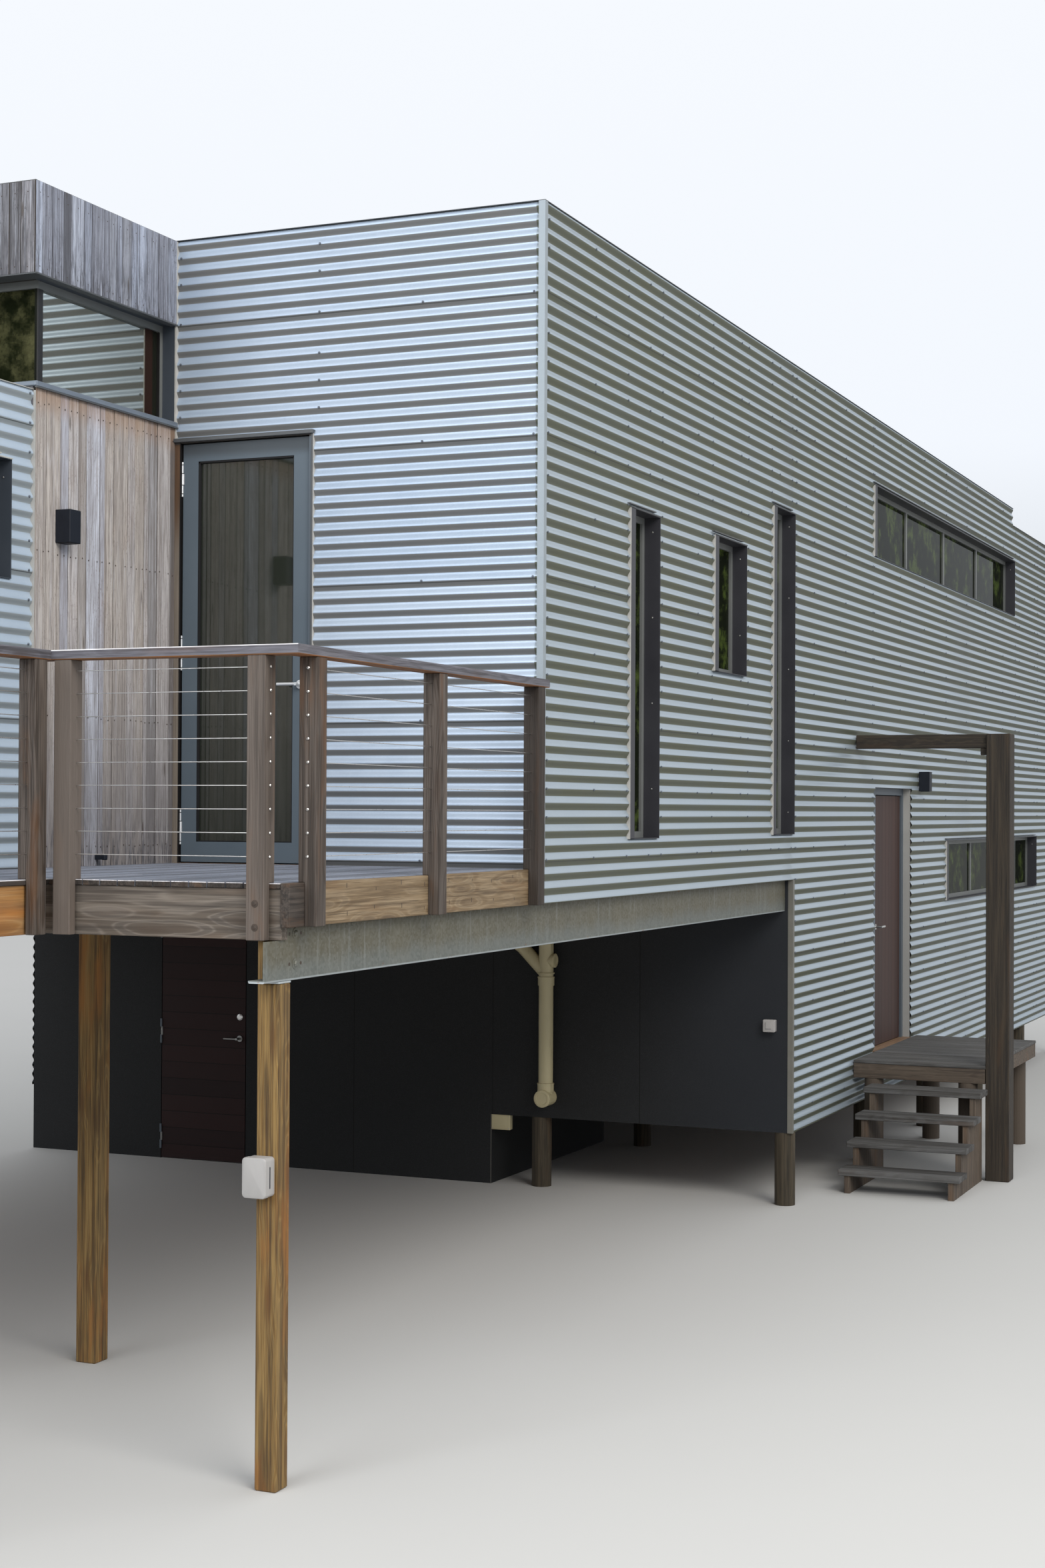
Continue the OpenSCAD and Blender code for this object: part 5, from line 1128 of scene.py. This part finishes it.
def turned(profile, centre, axis, side, number=0, sides=28):
    """A turned ring or cap: a profile of (radius, reach) carried round the axis given."""
    rings = ringed(profile, axis, side, sides)
    return rings.reshape(-1, 3) + centre, joined(rings, (side < 0) != (axis == 1), near=False), number, {}


pipe_lo, pipe_hi = local("waste_pipe")
pipe_x, pipe_y, pipe_z = -1.91, lower_y - 0.07, pipe_lo[2] + 0.062
build("pipe_caps", [
    turned([(0.0625, -0.03), (0.0655, -0.028), (0.0655, 0.0), (0.058, 0.004), (0.046, 0.004),
            (0.044, 0.001), (0.0, 0.001)],
           (pipe_x, pipe_lo[1], pipe_z), 1, -1),
    turned([(0.0485, -0.026), (0.053, -0.024), (0.053, 0.0), (0.047, 0.004), (0.036, 0.004),
            (0.034, 0.001), (0.0, 0.001)],
           (pipe_hi[0], pipe_y, pipe_z + 1.04), 0, 1)] +
    [turned([(0.0555, 0.0), (0.0645, 0.002), (0.0645, 0.012), (0.0555, 0.014)], (pipe_x, pipe_y, pipe_z + h), 2, 1)
     for h in (0.1, 0.905, 0.935)], [cream], smooth=0.7)


# Small fittings: two black wall lights, a door stop, a grey socket, a cream junction box, and a
# plain white sensor box on the front post.
black = mottled("black_casing", 30, (0.005, 0.007, 0.012), (0.011, 0.014, 0.022), 0.45, 0.15, 4.0, bump=0.05,
                specular_ior_level=0.25)
white = mottled("white_casing", (14, 14, 5), (0.29, 0.28, 0.275), (0.37, 0.36, 0.35), 0.42, 0.15, 5.0, 0.6, bump=0.04,
                specular_ior_level=0.45)
fittings = sorted(solids("wall_fittings"), key=lambda b: tuple(b[0]))
lamps, others = [b for b in fittings if b[0][2] > 2.9], [b for b in fittings if b[0][2] < 2.9]
lenses = [(lo + (0.012, 0.012, -0.002), (hi[0] - 0.012, hi[1] - 0.012, lo[2] + 0.004)) for lo, hi in lamps]
build("wall_lights", [planks(*zip(*lamps), 2, 0.003), planks(*zip(*lenses), 2, 0.001)],
      [black], instead=("wall_fittings",))


def rounded(lo, hi, axis, side, radius, lid=0.35, number=0):
    """A moulded box with its lid: a rounded rectangle carried along the axis through a list of
    (reach, inset) steps: the body, a fine groove, then the lid with a rounded rim."""
    first, second = [i for i in range(3) if i != axis]
    turn, rings = np.linspace(0, np.pi / 2, 7), []
    for share, inset in ((0, 0.002), (1 - lid, 0.002), (1 - lid, 0.0035), (1.02 - lid, 0.0035), (1.02 - lid, 0.0),
                         (0.93, 0.0), (0.975, 0.0025), (1.0, 0.008)):
        r = max(radius - inset, 0.001)
        a0, a1, b0, b1 = lo[first] + inset + r, hi[first] - inset - r, lo[second] + inset + r, hi[second] - inset - r
        angle = np.concatenate([turn + quarter * np.pi / 2 for quarter in range(4)])
        ring = np.zeros((28, 3))
        ring[:, first] = np.repeat((a1, a0, a0, a1), 7) + r * np.cos(angle)
        ring[:, second] = np.repeat((b1, b1, b0, b0), 7) + r * np.sin(angle)
        depth = share * (hi[axis] - lo[axis])
        ring[:, axis] = lo[axis] + depth if side > 0 else hi[axis] - depth
        rings.append(ring)
    return np.concatenate(rings), joined(rings, (side < 0) != (axis == 1)), number, {}


shapes = []
for lo, hi in others:
    c = (lo + hi) / 2
    if hi[1] < -2.5:
        shapes.append(rounded(lo, hi, 1, -1, 0.018, 0.45, 0))
        slot = (hi[0] - 0.001, lo[1] + 0.034, c[2] - 0.045), (hi[0] + 0.0006, lo[1] + 0.042, c[2] + 0.045)
        shapes.append(planks(*slot, 2, 0.0003, 2))
    elif lo[2] > 2.5:
        shapes.append(rounded(lo, hi, 0, 1, 0.006, 0.3, 2))
    elif lo[0] > -1.0:
        shapes.append(rounded(lo, hi, 1, -1, 0.008, 0.4, 0))
        switch = (c[0] - 0.022, lo[1] - 0.008, c[2] - 0.02), (c[0] + 0.022, lo[1] + 0.004, c[2] + 0.028)
        shapes.append(rounded(*switch, 1, -1, 0.004, 0.5, 0))
    else:
        shapes.append(rounded(lo, hi, 1, -1, 0.004, 0.3, 1))
        places = [(u, lo[1], w) for u in (lo[0] + 0.012, hi[0] - 0.012) for w in (lo[2] + 0.012, hi[2] - 0.012)]
        shapes.append(heads(places, 1, -1, 0.004, 0.001, 8))
build("small_fittings", shapes, [white, cream, black], smooth=0.6)


# The entry: a boarded landing and four open treads of darkened hardwood, one heavy square porch post
# with a beam and bracket to the wall, and a red-brown boarded leaf that opens inwards.
dark_boards = timber("landing_boards", (0.02, 0.018, 0.016), (0.06, 0.056, 0.052),
                     (0.13, 0.13, 0.13), (0.075, 0.046, 0.028),
                     warmth=0.2, knots=0.3, stripes=0.3, tones=0.4)
dark_fronts = timber("landing_fronts", (0.03, 0.022, 0.016), (0.085, 0.062, 0.045),
                     (0.15, 0.115, 0.085), (0.13, 0.07, 0.035),
                     warmth=0.3, knots=0.4, tones=0.3, rough=0.8)
(_, land_y0, _), (land_x, land_y1, land_z) = local("landing")
edge = np.linspace(land_y0, land_y1, int(round((land_y1 - land_y0) / 0.095)) + 1)
mid_y = (land_y0 + land_y1) / 2
under, over = land_z - 0.14, land_z - 0.025
shapes = [planks(spots(0, edge[:-1] + 0.002, land_z - 0.024), spots(land_x, edge[1:] - 0.002, land_z), 0, 0.003, 0),
          planks([(0, land_y0 + 0.004, under), (0, land_y1 - 0.049, under),
                  (land_x - 0.049, land_y0 + 0.05, under), (0, mid_y, under)],
                 [(land_x - 0.004, land_y0 + 0.049, over), (land_x - 0.004, land_y1 - 0.004, over),
                  (land_x - 0.004, land_y1 - 0.05, over), (land_x - 0.05, mid_y + 0.045, over)], 0, 0.003, 1)]
shapes += [turned([(0.0745, 0.0), (0.075, 0.002), (0.075, land_z - 0.145), (0.074, land_z - 0.141)],
                  (xx, yy, 0.0), 2, 1, 1, 24)
           for xx in (0.15, 0.9) for yy in (land_y0 + 0.075, land_y1 - 0.075)]
build("landing_timbers", shapes, [dark_boards, dark_fronts], instead=("landing",))
(step_x0, _, _), (step_x1, _, step_z) = local("steps")
going, riser, tread, slat = 0.25, 0.178, 0.045, 0.09
slats = [((step_x0, y0 + k * slat + 0.0015 * (k > 0), z1 - tread),
          (step_x1, min(y0 + (k + 1) * slat - 0.0015, land_y0 - 0.001), z1))
         for y0, z1 in ((land_y0 - i * going - 3 * slat, step_z - i * riser) for i in range(4)) for k in range(3)]
cheeks = [((xx, land_y0 - (i + 1) * going, 0), (xx + 0.045, land_y0 - i * going, step_z - i * riser - tread))
          for xx in (0.195, 0.98) for i in range(4)]
build("step_timbers", [planks(*zip(*slats), 0, 0.004, 0), planks(*zip(*cheeks), 2, 0.002, 1)],
      [dark_boards, dark_fronts],
      instead=("steps",))
porch_wood = timber("porch_timber", (0.006, 0.004, 0.003), (0.026, 0.018, 0.011),
                    (0.056, 0.041, 0.025), (0.05, 0.026, 0.011),
                    warmth=0.3, knots=0.2, stripes=0.9, tones=0.2)
(_, y0, _), (x1, _, z1) = local("porch_frame")
post = 0.185
x0 = x1 - post
build("porch_timbers", [
    planks((x0, y0, 0), (x1, y0 + post, z1), 2, 0.006),
    planks((0, y0 + 0.046, z1 - 0.11), (x0 - 0.0005, y0 + 0.139, z1 - 0.001), 0, 0.005),
    planks((x0 - 0.055, y0 + 0.052, z1 - 0.165), (x0 - 0.0005, y0 + 0.133, z1 - 0.1105), 0, 0.004)],
    [porch_wood], instead=("porch_frame",))
leaf_x0, leaf_x1 = [c[0] for c in local("entry_door")]
leaf_red = boarded("entry_leaf_boards", 2, (1, 20.0), 0.115, (0.02, 0.007, 0.005),
                   (0.058, 0.022, 0.014), (0.01, 0.006, 0.004),
                   lambda x, y, z: ((x > leaf_x1 - 0.0625) + (x < leaf_x0 + 0.0095)) > 0.5, (0.6, 0.6, 0.58), 0.5, 0.35)
dress(leaf_red, "entry_door")


# The studio floor: plain and pale, level with the feet of the posts.
pale, paint = finish("studio_floor", roughness=0.9)
wear(paint, mixed(cloud(at(paint)[0], 0.3), (0.5, 0.5, 0.49), (0.53, 0.53, 0.52)))
plane = bpy.data.meshes.new("studio_floor")
plane.from_pydata([(x, y, 0.0) for x, y in ((-90, -60), (90, -60), (90, 160), (-90, 160))], [], [(0, 1, 2, 3)])
plane.materials.append(pale)
floor = bpy.data.objects.new("studio_floor", plane)
bpy.context.scene.collection.objects.link(floor)
